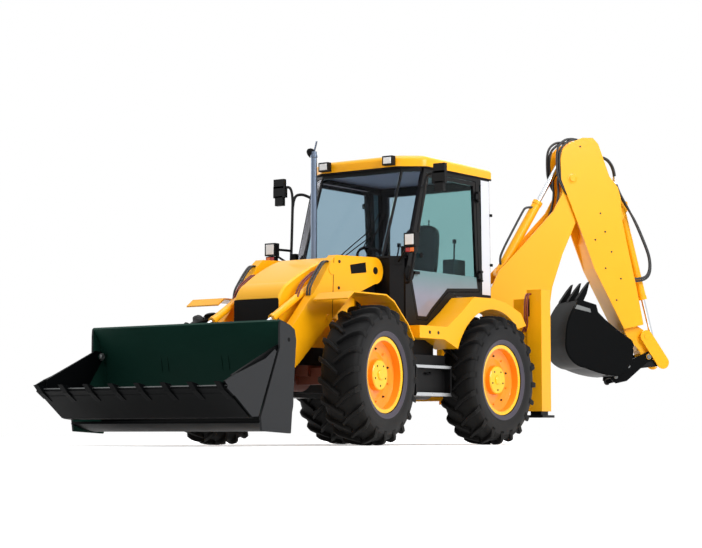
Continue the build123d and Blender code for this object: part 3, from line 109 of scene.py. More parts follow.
def finish(name, colour, rough, metal=0.0, vary=0.06, blotch=2.5, grain=0.0, grain_size=300.0, coat=0.0,
           specular=0.5, round_edge=0.0, dust=0.0, clear=0.0, ior=1.5, upper=None):
    """Procedural material: two close tones in soft patches, uneven gloss, fine grain and softened edges.

    dust is how much pale dust gathers in patches near the ground. upper is (colour, z0, z1): another tone
    above z0, which has faded to the main one at z1.
    """
    mat = bpy.data.materials.new(name)
    mat.use_nodes = True
    tree = mat.node_tree
    shader = tree.nodes["Principled BSDF"]
    place = node(tree, "TexCoord").outputs["Object"]
    patches = noise(tree, place, blotch, PATCH_DETAIL)
    darker = [c * (1 - vary) for c in colour[:3]] + [1]
    lighter = [min(1, c * (1 + vary)) for c in colour[:3]] + [1]
    tone = blend(tree, patches, darker, lighter)
    if upper:
        other, z0, z1 = upper
        tone = blend(tree, ramp(tree, height(tree, place), z0, z1), other, tone)
    if dust:
        low_down = ramp(tree, height(tree, place), DUST_TOP, 0.0, high=dust)
        amount = maths(tree, "MULTIPLY", low_down, noise(tree, place, DUST_SCALE, DUST_DETAIL))
        tone = blend(tree, amount, tone, rgb(*DUST_COLOUR))
    glossy, dull = max(0.02, rough + GLOSS_SPREAD[0]), min(1, rough + GLOSS_SPREAD[1])
    gloss = ramp(tree, patches, 0.0, 1.0, glossy, dull)
    tree.links.new(tone, shader.inputs["Base Color"])
    tree.links.new(gloss, shader.inputs["Roughness"])
    fixed = {"Metallic": metal, "IOR": ior, "Specular IOR Level": specular, "Coat Weight": coat,
             "Coat Roughness": COAT_ROUGH, "Transmission Weight": clear}
    for socket, value in fixed.items():
        shader.inputs[socket].default_value = value
    normal = {}
    if round_edge:
        soft = node(tree, "Bevel", {"Radius": round_edge}, samples=EDGE_SAMPLES)
        normal = {"Normal": soft.outputs["Normal"]}
    if grain:
        fine = noise(tree, place, grain_size, GRAIN_DETAIL)
        bump = node(tree, "Bump", {"Strength": grain, "Distance": GRAIN_DEPTH, "Height": fine, **normal})
        normal = {"Normal": bump.outputs["Normal"]}
    for socket, source in normal.items():
        tree.links.new(source, shader.inputs[socket])
    return mat


# painted steel
YELLOW = finish("paint_yellow", rgb(253, 176, 6), 0.36, vary=0.035, coat=0.12, specular=0.32, grain=0.03,
                round_edge=0.006, dust=0.10)
HOOD = finish("paint_hood", rgb(254, 182, 14), 0.34, vary=0.03, coat=0.18, specular=0.32, grain=0.02,
              round_edge=0.008)
# the rim's dish in painted shade, a deeper orange; its hub, flange and hub cap in a painted lit tone
RIM_SHADED = finish("rim_painted_shade", rgb(252, 150, 10), 0.38, vary=0.05, coat=0.2, grain=0.04, round_edge=0.004,
             dust=0.08)
RIM_LIT = finish("rim_painted_light", rgb(255, 196, 14), 0.36, vary=0.04, coat=0.2, grain=0.05, round_edge=0.004)
BLACK = finish("paint_black", rgb(9, 9, 11), 0.42, vary=0.15, grain=0.06, round_edge=0.004, specular=0.16,
               dust=0.02)
BUCKET = finish("paint_bucket", rgb(4, 5, 6), 0.42, vary=0.20, blotch=3, grain=0.10, grain_size=160,
                round_edge=0.006, specular=0.05)
PLATE_GREY = finish("bucket_end_grey", rgb(42, 43, 45), 0.5, vary=0.10, blotch=4, grain=0.10,
                    grain_size=200, round_edge=0.006, specular=0.15)
GREEN = finish("bucket_inner", rgb(17, 52, 43), 0.6, vary=0.12, blotch=3, grain=0.08, grain_size=120,
               specular=0.12)
CAST = finish("cast_dark", rgb(38, 34, 34), 0.6, vary=0.2, blotch=7, grain=0.35, grain_size=220, dust=0.3)
AXLE = finish("axle_brown", rgb(98, 44, 26), 0.6, vary=0.25, blotch=7, grain=0.35, grain_size=220)

# rubber and plastic
RUBBER = finish("tyre_rubber", rgb(9, 9, 10), 0.6, vary=0.25, blotch=6, grain=0.25, grain_size=260,
                specular=0.14, dust=0.03)
WALL = finish("tyre_wall", rgb(16, 16, 18), 0.5, vary=0.2, blotch=5, grain=0.15, specular=0.16, dust=0.03)
BEAD = finish("tyre_bead", rgb(74, 70, 80), 0.5, vary=0.15, blotch=5, grain=0.15, specular=0.2)
PLASTIC = finish("moulded_black", rgb(9, 9, 10), 0.5, vary=0.2, blotch=8, grain=0.2, grain_size=600,
                 specular=0.16)
SEAL = finish("rubber_trim", rgb(6, 6, 7), 0.7, vary=0.2, grain=0.1, specular=0.12)
HOSE = finish("hose_rubber", rgb(12, 12, 13), 0.45, vary=0.2, blotch=30, grain=0.3, grain_size=900)
HOSE_RED = finish("hose_red", rgb(110, 30, 16), 0.45, vary=0.2, blotch=30, grain=0.3, grain_size=900)
VINYL = finish("chair_vinyl", rgb(44, 45, 50), 0.55, vary=0.12, blotch=12, grain=0.4, grain_size=420)
ROOF_LINING = finish("roof_lining", rgb(158, 158, 176), 0.7, vary=0.05, grain=0.3, grain_size=500)
LINING = finish("cab_lining", rgb(70, 74, 78), 0.7, vary=0.08, grain=0.3, grain_size=500)

# bare metal
CHROME = finish("chrome_rod", rgb(215, 218, 222), 0.10, metal=1.0, vary=0.03, blotch=10)
STEEL = finish("bright_steel", rgb(196, 198, 200), 0.28, metal=1.0, vary=0.08, blotch=20, grain=0.1)
STACK = finish("stack_steel", rgb(92, 104, 122), 0.34, metal=0.75, vary=0.15, blotch=5, grain=0.1,
               grain_size=90)
BOLT = finish("bolt_dark", rgb(52, 46, 40), 0.45, metal=0.6, vary=0.2, blotch=40)
MIRROR = finish("mirror_silver", rgb(225, 230, 235), 0.03, metal=1.0, vary=0.01)
# pale grey steel for the pin ends and the tooth bolt heads, and painted highlights along the loader bucket's
# cutting edge and on the backhoe bucket's strip
PALE_STEEL_AND_HIGHLIGHT = finish("pale_steel_and_painted_highlight", rgb(104, 106, 106), 0.4, metal=0.5, vary=0.2, blotch=14, grain=0.2)

# glass and lenses
LENS = finish("lamp_lens", rgb(235, 238, 240), 0.12, vary=0.03, blotch=40, grain=0.25, grain_size=140,
              coat=0.5)
AMBER = finish("lens_amber", rgb(236, 110, 12), 0.2, vary=0.08, blotch=40, grain=0.3, grain_size=150,
               coat=0.5)
RED = finish("lens_red", rgb(170, 20, 14), 0.2, vary=0.08, blotch=40, grain=0.3, grain_size=150, coat=0.5)
GLASS = finish("tinted_glass", rgb(176, 206, 206), 0.03, vary=0.03, blotch=1.2, clear=1.0, ior=1.12)
SCREEN = finish("screen_glass", rgb(206, 208, 226), 0.03, vary=0.06, blotch=0.8, clear=1.0, ior=1.12)
# opaque door glass whose colour is a painted reflection: lavender grey, turning teal towards the top for the
# view through both panes
DOOR_GLASS_REFLECTION = finish("door_glass_painted_reflection", rgb(136, 138, 156), 0.16, vary=0.25, blotch=1.6, coat=0.4, specular=0.4,
                upper=(rgb(88, 128, 130), 1.86, 1.58))
# opaque pale glass of the cab's rear side windows: a painted reflection of the white surroundings
QUARTER_REFLECTION = finish("quarter_glass_painted_reflection", rgb(214, 216, 224), 0.16, vary=0.05, blotch=1.6, coat=0.4)

# ---- finishes of the CAD nodes ------------------------------------------
# each key is how the names start, and a node that matches none is yellow
NODE_FINISHES = (
    ("tyre_", RUBBER), ("rim_", RIM_SHADED), ("knuckle_", CAST), ("front_axle", AXLE), ("rear_axle", CAST),
    ("track_rod", STEEL), ("chassis_frame", BLACK), ("engine_block", CAST), ("grille", PLASTIC),
    ("hood", HOOD), ("side_tanks", BLACK), ("cab_frame", BLACK), ("cab_glass", GLASS),
    ("cab_interior", PLASTIC), ("driver_chair", VINYL), ("door_pane", GLASS), ("door_left", BLACK),
    ("door_right", BLACK), ("exhaust", STACK), ("lamps", PLASTIC), ("mirrors", PLASTIC),
    ("lift_ram_rods", CHROME), ("tilt_ram_rods", CHROME), ("boom_ram_rod", CHROME),
    ("crowd_ram_rod", CHROME), ("curl_ram_rod", CHROME), ("bucket_back", BUCKET), ("bucket_clam", BUCKET),
    ("stabiliser_leg", BLACK), ("hoe_bucket", BUCKET), ("tipping_link", BLACK),
)
for name, obj in nodes.items():
    matches = [mat for key, mat in NODE_FINISHES if name.startswith(key)]
    obj.data.materials.clear()
    obj.data.materials.append(matches[0] if matches else YELLOW)


def paint(name, mats, pick):
    """Gives each face of a node the finish that pick names from its middle and its outward direction."""
    obj = nodes[name]
    obj.data.materials.clear()
    for mat in mats:
        obj.data.materials.append(mat)
    turn = obj.matrix_world.to_3x3()
    for face in obj.data.polygons:
        face.material_index = pick(obj.matrix_world @ face.center, turn @ face.normal)


END_PLATE = BUCKET_HALF - 0.024             # just inside the end plates' inner faces
BUCKET_INSIDE = (3.70, 0.29)                # the inside lies ahead of this x and above this z
TANK_FACE, TANK_STRIPS = 0.99, (0.548, 0.795)    # the strips are below the first height, above the second
SCREEN_FROM, DASH_FROM = 0.85, (0.5, 1.85)  # the windscreen is ahead of this x, the dash ahead of and above


def bucket_back_part(c, n):
    """1: the end plates' outer faces and edges. 2: their inner faces and the bucket's inside."""
    if abs(c.y) > END_PLATE:
        return 1 if n.y * c.y > 0.5 or abs(n.y) < 0.5 else 2
    looks_in = n.x > 0.25 or n.z > 0.35
    return 2 if looks_in and c.x > BUCKET_INSIDE[0] and c.z > BUCKET_INSIDE[1] else 0


def clam_part(c, n):
    """1: the outer faces of the clam's side plates."""
    return 1 if abs(c.y) > BUCKET_HALF - 0.005 and n.y * c.y > 0 else 0


def tank_part(c, n):
    """1: the bright strips along the top and the foot of each tank's side."""
    in_strip = c.z < TANK_STRIPS[0] or c.z > TANK_STRIPS[1]
    return 1 if in_strip and abs(c.y) > TANK_FACE and abs(n.y) > 0.9 else 0


def screen_part(c, n):
    """1: the windscreen."""
    return 1 if c.x > SCREEN_FROM else 0


def dash_part(c, n):
    """1: the dash and the steering wheel."""
    return 1 if c.x > DASH_FROM[0] and c.z > DASH_FROM[1] else 0


paint("bucket_back", [BUCKET, PLATE_GREY, GREEN], bucket_back_part)
paint("bucket_clam", [BUCKET, PLATE_GREY], clam_part)
paint("side_tanks", [BLACK, STEEL], tank_part)
paint("cab_glass", [GLASS, SCREEN], screen_part)
paint("cab_interior", [LINING, PLASTIC], dash_part)


# ---- mesh helpers -------------------------------------------------------
def ride(obj, body):
    """Puts a new piece into the scene, on its body."""
    scene.collection.objects.link(obj)
    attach(obj, body)


class Mesh:
    """Vertices and faces gathered into one piece."""

    def __init__(self):
        self.verts, self.faces, self.slots = [], [], []

    def add(self, verts, faces, slot=0):
        """Adds faces over their own vertices; slot is the finish of them all, or a list with one each."""
        base = len(self.verts)
        self.verts += [tuple(v) for v in verts]
        self.faces += [[base + i for i in f] for f in faces]
        self.slots += slot if isinstance(slot, list) else [slot] * len(faces)

    def piece(self, name, body, mats, record_slot, smooth=35, bevel=0.0):
        """Makes the object; smooth is the angle in degrees below which an edge is shaded smooth."""
        data = bpy.data.meshes.new(name)
        data.from_pydata(self.verts, [], self.faces)
        data.update()
        obj = bpy.data.objects.new(name, data)
        for mat in mats if isinstance(mats, list) else [mats]:
            data.materials.append(mat)
        for poly, slot in zip(data.polygons, self.slots):
            poly.material_index = slot
        if bevel:
            mod = obj.modifiers.new("bevel", "BEVEL")
            mod.width = bevel
            mod.segments = 2
            mod.limit_method = "ANGLE"
        if smooth:
            data.shade_smooth()
            data.set_sharp_from_angle(angle=radians(smooth))
        ride(obj, body)
        return obj


def axes_of(direction):
    """The direction and two more at right angles to it, all of length 1."""
    d = Vector(direction).normalized()
    side = d.cross(UP if abs(d.z) < 0.9 else Vector((1, 0, 0))).normalized()
    return d, side, d.cross(side)


def quads(count, size, closed=False):
    """Faces between neighbouring rings of equal size; closed joins the last ring to the first as well."""
    faces = []
    for j in range(count if closed else count - 1):
        near, far = j * size, (j + 1) % count * size
        faces += [(near + i, near + (i + 1) % size, far + (i + 1) % size, far + i) for i in range(size)]
    return faces


def lathe(mesh, origin, direction, profile, turns=24, slot=0):
    """Turned form: profile of (radius, distance along the direction)."""
    d, a, b = axes_of(direction)
    o = Vector(origin)
    verts, n = [], len(profile)
    for k in range(turns):
        t = tau * k / turns
        spoke = a * cos(t) + b * sin(t)
        verts += [o + spoke * r + d * h for r, h in profile]
    faces = [(k * n + i, k * n + i + 1, (k + 1) % turns * n + i + 1, (k + 1) % turns * n + i)
             for k in range(turns) for i in range(n - 1)]
    faces += [[k * n for k in range(turns)], [k * n + n - 1 for k in reversed(range(turns))]]
    mesh.add(verts, faces, slot)


def stud(mesh, at, direction, shoulder, top, turns=20, sunk=0.0, crown=0.0, slot=0):
    """Round head with a chamfer; shoulder and top are each (radius, height)."""
    profile = [(shoulder[0], -sunk), shoulder, top, (0, top[1] + crown)]
    lathe(mesh, at, direction, profile, turns, slot)


def disc(mesh, at, direction, radius, thick, turns=20, slot=0):
    lathe(mesh, at, direction, [(radius, 0), (radius, thick), (0, thick)], turns, slot)


def bolt(mesh, at, direction, r, h, slot=0):
    """Hexagon head with a chamfered top on a round washer."""
    lathe(mesh, at, direction, [(r * 1.35, -0.001), (r * 1.35, h * 0.25)], 12, slot)
    lathe(mesh, at, direction, [(r, h * 0.2), (r, h * 0.85), (r * 0.82, h)], 6, slot)


def box(mesh, hand, xs, ys, zs, slot=0):
    """Block between two values of x, y and z; hand is 1 for the left side and -1 for the right."""
    v = [(x, y, z) for x in xs for y in sorted((hand * ys[0], hand * ys[1])) for z in zs]
    faces = [(0, 1, 3, 2), (4, 6, 7, 5), (0, 4, 5, 1), (2, 3, 7, 6), (0, 2, 6, 4), (1, 5, 7, 3)]
    mesh.add(v, faces, slot)


def prism(mesh, front, back, slot=0):
    """Closed solid between two like outlines."""
    n = len(front)
    faces = [list(range(n)), [n + i for i in reversed(range(n))]]
    faces += [(i, n + i, n + (i + 1) % n, (i + 1) % n) for i in range(n)]
    mesh.add(list(front) + list(back), faces, slot)


def on_side(y):
    """Maps (x, z) into the plane across the machine at y."""
    return lambda p: Vector((p[0], y, p[1]))


def on_hoe(n):
    """Maps (s, z) into the boom's plane, n to the side of it; s runs back from the slew axis."""
    return lambda p: Vector((SLEW_X - p[0] * cos(SLEW) + n * sin(SLEW),
                             p[0] * sin(SLEW) + n * cos(SLEW), p[1]))


def slab(mesh, outline, near, far, slot=0):
    """Solid of one flat outline between two planes, each given as on_side or on_hoe gives it."""
    prism(mesh, [near(p) for p in outline], [far(p) for p in outline], slot)


def tube(name, points, radius, mat, body, hand=1):
    """Round bar or hose along a smooth line near the points; hand of -1 puts it on the right."""
    curve = bpy.data.curves.new(name, "CURVE")
    curve.dimensions = "3D"
    spline = curve.splines.new("NURBS")
    spline.points.add(len(points) - 1)
    for p, (x, y, z) in zip(spline.points, points):
        p.co = (x, hand * y, z, 1)
    spline.order_u = 3
    spline.use_endpoint_u = True
    spline.resolution_u = 8
    curve.bevel_depth = radius
    curve.bevel_resolution = 4
    curve.use_fill_caps = True
    curve.materials.append(mat)
    ride(bpy.data.objects.new(name, curve), body)


def hoe_tube(name, n, points, radius, mat, body):
    """Bar or hose near (s, z) points in the boom's plane, n to the side of it."""
    tube(name, [on_hoe(n)(p) for p in points], radius, mat, body)


# ---- wheels: lugged tyres, wheel nuts and hub caps ----------------------
WHEELS = (("rear_left", 0.0, 1), ("rear_right", 0.0, -1),             # name, x of the axle, hand
          ("front_left", WHEELBASE, 1), ("front_right", WHEELBASE, -1))
LUGS, TYRE_STEPS = 20, 96        # lugs on each half of the tread, steps round the carcass
TREAD_PART, WALL_PART, BEAD_PART = 0, 1, 2
CARCASS = [                      # radius, distance out: half the body between the lugs, from the bead up
    (0.3533, 0.162), (0.384, 0.1645), (0.386, 0.186), (0.400, 0.196), (0.420, 0.200), (0.428, 0.2045),
    (0.436, 0.2025), (0.470, 0.2085), (0.510, 0.2125), (0.550, 0.2115), (0.590, 0.206), (0.622, 0.193),
    (0.642, 0.168), (0.652, 0.130), (0.657, 0.080), (0.659, 0.030),
]
WALL_RINGS, BEAD_RINGS = range(10), range(2, 6)     # the bead's finish wins where both have a ring
LUG_LINE = [                     # distance out, radius at foot and top, degrees behind the tip, half width
    (-0.022, 0.640, 0.699, 0.0, 0.016),
    (0.006, 0.640, 0.6995, 1.6, 0.019),
    (0.045, 0.640, 0.6995, 4.6, 0.0205),
    (0.090, 0.640, 0.698, 7.6, 0.022),
    (0.140, 0.630, 0.694, 10.2, 0.0235),
    (0.178, 0.612, 0.685, 11.8, 0.025),
    (0.203, 0.590, 0.668, 12.8, 0.0255),
    (0.2105, 0.570, 0.640, 13.3, 0.0245),
    (0.2105, 0.548, 0.598, 13.6, 0.020),
]
LUG_FLARE, LUG_TAPER, LUG_EDGE = 0.006, 0.002, 0.004    # wider foot, narrower top, and its worn edge
HUB_R, FLANGE_R = 0.15, 0.345    # the rim is painted in a lit tone inside the first and outside the second, and in painted shade between
NUTS, NUT_RING, NUT_FACE, NUT = 10, 0.262, 0.070, (0.009, 0.016)     # a nut's radius and height
HUB_BOLTS, HUB_BOLT_RING, HUB_BOLT_FACE, HUB_BOLT = 5, 0.108, 0.1275, (0.008, 0.007)
CAP_FACE, HUB_CAP = 0.127, ((0.052, 0.008), (0.040, 0.016))


def wheel_axes(x, hand):
    """A wheel's centre, and its outward and forward directions."""
    if x == 0:
        centre, out = Vector((0, hand * HALF_TRACK, AXLE_Z)), Vector((0, hand, 0))
    else:
        out = Vector((-sin(STEER) * hand, cos(STEER) * hand, 0))
        centre = Vector((x, hand * KINGPIN_Y, AXLE_Z)) + out * (HALF_TRACK - KINGPIN_Y)
    return centre, out, out.cross(UP) * hand


def carcass(tyre, at):
    """The tyre's body, with the finish of the bead, the wall or the tread on each face."""
    profile = CARCASS + [(r, -u) for r, u in reversed(CARCASS)]
    n = len(profile)
    verts = [at(r, u, tau * k / TYRE_STEPS) for k in range(TYRE_STEPS) for r, u in profile]
    rings = [min(i, n - 1 - i) for i in range(n)]          # 0 at either bead, growing towards the tread
    parts = [BEAD_PART if ring in BEAD_RINGS else WALL_PART if ring in WALL_RINGS else TREAD_PART
             for ring in rings]
    tyre.add(verts, quads(TYRE_STEPS, n, closed=True), parts * TYRE_STEPS)


def lug(tyre, at, half_of_tread, lead):
    """One lug, from the middle of the tread out and back over the shoulder."""
    rings = []
    for u, foot, top, back, half in LUG_LINE:
        turn = lead - radians(back)
        wide, slim = half + LUG_FLARE, half - LUG_TAPER
        across = [(foot, wide / foot), (top - LUG_EDGE, slim / top + 0.001), (top, (slim - LUG_EDGE) / top)]
        ring = [at(r, half_of_tread * u, turn - t) for r, t in across]
        ring += [at(r, half_of_tread * u, turn + t) for r, t in reversed(across)]
        rings.append(ring)
    count, size = len(rings), len(rings[0])
    ends = [list(range(size)), [(count - 1) * size + i for i in range(size)]]
    tyre.add([v for ring in rings for v in ring], quads(count, size) + ends, TREAD_PART)


def wheel(name, x, hand):
    """Tyre with its lugs in place of the CAD one, the rim's painted shade and painted lit tone, and its
    nuts, bolts and hub cap.
    """
    centre, out, ahead = wheel_axes(x, hand)
    body = "wheel_" + name

    def at(r, u, turn):
        """Point r from the axle and u out from the wheel's middle, turned forward from the top."""
        return centre + out * u + (UP * cos(turn) + ahead * sin(turn)) * r

    def bright(c, n):
        """1: the rim's hub and flange, in a painted lit tone; 0: the dish between them, in painted shade."""
        off_axle = (c - centre) - out * (c - centre).dot(out)
        return 1 if off_axle.length < HUB_R or off_axle.length > FLANGE_R else 0

    tyre = Mesh()
    carcass(tyre, at)
    for k in range(2 * LUGS):
        lug(tyre, at, 1 if k % 2 else -1, tau * k / (2 * LUGS))
    piece = tyre.piece("lugged_tyre_" + name, body, [RUBBER, WALL, BEAD], "tyre_black", smooth=32)
    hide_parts("tyre_" + name)
    paint("rim_" + name, [RIM_SHADED, RIM_LIT], bright)
    nuts = Mesh()
    # every other nut takes the rim's painted shade, and the hub cap takes its painted lit tone
    for k in range(NUTS):
        bolt(nuts, at(NUT_RING, NUT_FACE, tau * k / NUTS), out, *NUT, k % 2)
    for k in range(HUB_BOLTS):
        bolt(nuts, at(HUB_BOLT_RING, HUB_BOLT_FACE, tau * (k + 0.5) / HUB_BOLTS), out, *HUB_BOLT)
    stud(nuts, centre + out * CAP_FACE, out, *HUB_CAP, 28, crown=0.002, slot=2)
    nuts.piece("wheel_nuts_" + name, body, [BOLT, RIM_SHADED, RIM_LIT], "rim_yellow", smooth=30)


for row in WHEELS:
    wheel(*row)

# ---- loader bucket: painted highlight along the cutting edge, tooth bolts and pin ends ---
TEETH, TOOTH_ROW, BOLT_OFF = 8, 1.135, 0.016     # half the row's width, and bolts from a tooth's middle
TOOTH_TOP, TOOTH_FACING = (4.588, 0.5245), (-0.50, 0, 0.866)
TOOTH_BOLT, PIVOT_PIN = ((0.013, 0.009), (0.009, 0.014)), ((0.036, 0.012), (0.024, 0.022))
# thin pale strip along the cutting edge's top front: a painted highlight
LIP_HIGHLIGHT = [(4.6540, 0.5400), (4.6565, 0.5400), (4.6550, 0.5500), (4.6500, 0.5495)]
LIP_SHORT = 0.005                # the lip stops this far inside the bucket's sides
PIVOT_FACE, STOP_PIN, PLATE_HOLE_SHADE = 1.128, (3.997, 0.868), (3.780, 0.985)


def bucket_fittings():
    lip_highlight, bolts, pins = Mesh(), Mesh(), Mesh()
    slab(lip_highlight, LIP_HIGHLIGHT, on_side(LIP_SHORT - BUCKET_HALF), on_side(BUCKET_HALF - LIP_SHORT))
    for k in range(TEETH):
        y = -TOOTH_ROW + k * 2 * TOOTH_ROW / (TEETH - 1)
        for dy in (-BOLT_OFF, BOLT_OFF):
            at = on_side(y + dy)(TOOTH_TOP)
            stud(bolts, at, TOOTH_FACING, *TOOTH_BOLT, 12, sunk=0.006, crown=0.001)
    for _, hand in SIDES:
        outward = (0, hand, 0)
        # end of the clam's stop pin, in the top corner of its side plate
        disc(bolts, on_side(hand * (BUCKET_HALF - 0.0010))(STOP_PIN), outward, 0.012, 0.0008)
        # the clam's pivot pin, inside the end plate, and a dark disc on the plate: painted shade for its
        # round hole
        stud(pins, on_side(hand * PIVOT_FACE)(CLAM_PIN), (0, -hand, 0), *PIVOT_PIN, sunk=0.004)
        disc(pins, on_side(hand * (BUCKET_HALF - 0.0002))(PLATE_HOLE_SHADE), outward, 0.020, 0.0006, 24, 1)
    lip_highlight.piece("bucket_lip_highlight", "bucket_clam", PALE_STEEL_AND_HIGHLIGHT, "bucket_grey", smooth=0, bevel=0.001)
    bolts.piece("tooth_bolts", "bucket_clam", PALE_STEEL_AND_HIGHLIGHT, "bucket_grey", smooth=30)
    pins.piece("clam_pins", "bucket_back", [PALE_STEEL_AND_HIGHLIGHT, SEAL], "bucket_grey", smooth=30)


bucket_fittings()

# ---- lamps: lenses in their housings ------------------------------------
LENS_BEVEL = 0.006
CLEAR_PART, AMBER_PART, RED_PART = 0, 1, 2
LENSES = (                       # x of the housing's face, y, z, finish, how far forward the lens is
    (1.4305, (0.874, 0.986), (2.074, 2.186), CLEAR_PART, 0.006),      # head lamp beside the windscreen
    (1.4225, (0.876, 0.930), (2.000, 2.047), RED_PART, 0.006),        # the two small lamps below it
    (1.4225, (0.930, 0.984), (2.000, 2.047), AMBER_PART, 0.006),
    (1.1235, (0.377, 0.483), (2.999, 3.071), CLEAR_PART, 0.005),      # roof, front
    (-0.5435, (0.377, 0.483), (2.999, 3.071), CLEAR_PART, -0.0012),   # roof, rear
)


def lens(mesh, hand, x, ys, zs, slot, proud):
    """Raised lens with a bevelled rim."""
    (y0, y1), (z0, z1) = sorted((hand * ys[0], hand * ys[1])), zs

    def corners(x, inset):
        return [(x, y0 + inset, z0 + inset), (x, y1 - inset, z0 + inset),
                (x, y1 - inset, z1 - inset), (x, y0 + inset, z1 - inset)]

    prism(mesh, corners(x, 0), corners(x + proud, LENS_BEVEL), slot)


def lamp_lenses():
    lenses = Mesh()
    for _, hand in SIDES:
        for row in LENSES:
            lens(lenses, hand, *row)
    lenses.piece("lamp_lenses", "chassis", [LENS, AMBER, RED], "dark_plastic", smooth=20)


lamp_lenses()

# ---- exhaust: collar, ball-shaped cap and its slanted stem --------------
STACK_X, STACK_Y, COLLAR_Z, CAP_Z = 1.418, -0.330, 3.095, 3.150
COLLAR = [(0.0365, 0), (0.040, 0.004), (0.040, 0.03), (0.0365, 0.034)]
BALL = [(0.012, -0.05), (0.034, -0.022), (0.044, 0.004), (0.044, 0.02), (0.032, 0.042), (0.0, 0.052)]
STEM, STEM_SLANT = [(0.010, 0), (0.010, 0.13), (0.0, 0.132)], (0.18, 0.42, 0.9)


def exhaust_cap():
    cap = Mesh()
    lathe(cap, (STACK_X, STACK_Y, COLLAR_Z), UP, COLLAR, 28, 1)
    lathe(cap, (STACK_X + 0.007, STACK_Y - 0.042, CAP_Z), UP, BALL, 24, 0)
    lathe(cap, (STACK_X, STACK_Y, CAP_Z), STEM_SLANT, STEM, 12, 1)
    cap.piece("exhaust_cap", "chassis", [SEAL, STACK], "stack_steel", smooth=40)


exhaust_cap()

# ---- driver's seat: crowned cushions on a pedestal ----------------------
CUSHION_STEPS, CUSHION_POWER = 14, 7       # steps across each face, and how square the cushion is
SEAT, SEAT_CROWN = ((-0.105, -0.245, 1.800), (0.385, 0.245, 1.900)), 0.06     # lowest and highest corner
BACK, BACK_CROWN = ((-0.150, -0.218, 1.880), (-0.062, 0.218, 2.440)), 0.07
BACK_LEAN, BACK_HINGE = radians(-7), (-0.10, 0, 1.88)
PEDESTAL = (-0.04, 0.25), (-0.17, 0.17), (1.6425, 1.800)
HEAD_ROD, HEAD_ROD_AT, HEAD_ROD_LEAN = [(0.007, -0.05), (0.007, 0.09)], (-0.165, 2.44), (-0.05, 0, 1)
HEAD_ROD_Y = (0.09, -0.09)


def cushion(name, lo, hi, crown, turn=0.0, pivot=(0, 0, 0)):
    """Stuffed cushion: a rounded block with crowned faces, leaning back about the pivot by turn."""
    middle = [(a + b) / 2 for a, b in zip(lo, hi)]
    half = [(b - a) / 2 for a, b in zip(lo, hi)]
    hinge, n = Vector(pivot), CUSHION_STEPS

    def swell(a, b):
        return crown * (1 - a * a) * (1 - b * b)

    def put(u, v, w):
        """Place of a point given as shares of the half sizes, from -1 to 1."""
        x = middle[0] + half[0] * u * (1 + swell(v, w))
        y = middle[1] + half[1] * v * (1 + 0.6 * swell(u, w))
        z = middle[2] + half[2] * w * (1 + 2.2 * swell(u, v))
        d = Vector((x, y, z)) - hinge
        return hinge + Vector((d.x * cos(turn) + d.z * sin(turn), d.y, -d.x * sin(turn) + d.z * cos(turn)))

    mesh = Mesh()
    shares = [sin(pi / 2 * (2 * i / n - 1)) for i in range(n + 1)]
    for axis in range(3):
        for sign in (-1, 1):
            verts, faces = [], []
            for a in shares:
                for b in shares:
                    c = [0, 0, 0]
                    c[axis], c[(axis + 1) % 3], c[(axis + 2) % 3] = sign, a, b
                    length = sum(abs(v) ** CUSHION_POWER for v in c) ** (1 / CUSHION_POWER)
                    verts.append(put(*[v / length for v in c]))
            for i in range(n):
                for j in range(n):
                    near, far = i * (n + 1) + j, (i + 1) * (n + 1) + j
                    faces.append((near, far, far + 1, near + 1)[::sign])
            mesh.add(verts, faces)
    obj = mesh.piece(name, "chassis", VINYL, "chair_vinyl", smooth=60)
    weld = obj.modifiers.new("weld", "WELD")
    weld.merge_threshold = 0.0005
    return obj


def driver_seat():
    seat = cushion("seat_cushion", *SEAT, SEAT_CROWN)
    cushion("seat_back", *BACK, BACK_CROWN, BACK_LEAN, BACK_HINGE)
    base = Mesh()
    box(base, 1, *PEDESTAL)
    for y in HEAD_ROD_Y:
        lathe(base, on_side(y)(HEAD_ROD_AT), HEAD_ROD_LEAN, HEAD_ROD, 10)
    base.piece("seat_base", "chassis", PLASTIC, "dark_plastic", smooth=30)
    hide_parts("driver_chair")


driver_seat()

# ---- cab roof: crowned panel and the seal under its edge ----------------
ROOF_PLAN = [(-0.480, -0.755), (0.870, -0.770), (1.060, -0.520),
             (1.060, 0.520), (0.870, 0.770), (-0.480, 0.755)]
ROOF_CORNER, ROOF_MIDDLE = 0.06, Vector((0.29, 0))
CROWN = [                        # share of the way in to the middle, height
    (0.0, 2.966), (0.0, 3.040), (0.006, 3.058), (0.022, 3.076), (0.055, 3.090), (0.120, 3.103),
    (0.260, 3.120), (0.450, 3.133), (0.700, 3.140),
]
SEAL_LOW, SEAL_HIGH = 2.955, 2.972
SEAL_RUNS = ((0.871, 0.7705, 1.061, 0.520), (-0.44, 0.7575, 0.871, 0.7725))      # from x, y to x, y


def crowned_roof():
    """Rounded at its corners, crowned towards its middle, and pale underneath."""
    plan = [Vector(corner) for corner in ROOF_PLAN]
    outline = []
    for before, here, after in zip(plan[-1:] + plan, plan, plan[1:] + plan):
        a = here + (before - here).normalized() * ROOF_CORNER
        b = here + (after - here).normalized() * ROOF_CORNER
        outline += [a * (1 - t) ** 2 + here * 2 * t * (1 - t) + b * t * t for t in (0, 0.25, 0.5, 0.75, 1)]
    m, last = len(outline), (len(CROWN) - 1) * len(outline)
    verts = [(*(p + (ROOF_MIDDLE - p) * share), z) for share, z in CROWN for p in outline]
    underside, top = list(range(m))[::-1], [last + i for i in range(m)]
    faces = quads(len(CROWN), m) + [underside, top]
    roof = Mesh()
    roof.add(verts, faces, [0] * (len(faces) - 2) + [1, 0])
    piece = roof.piece("crowned_roof", "chassis", [YELLOW, ROOF_LINING], "body_yellow", smooth=32)
    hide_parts("cab_roof")


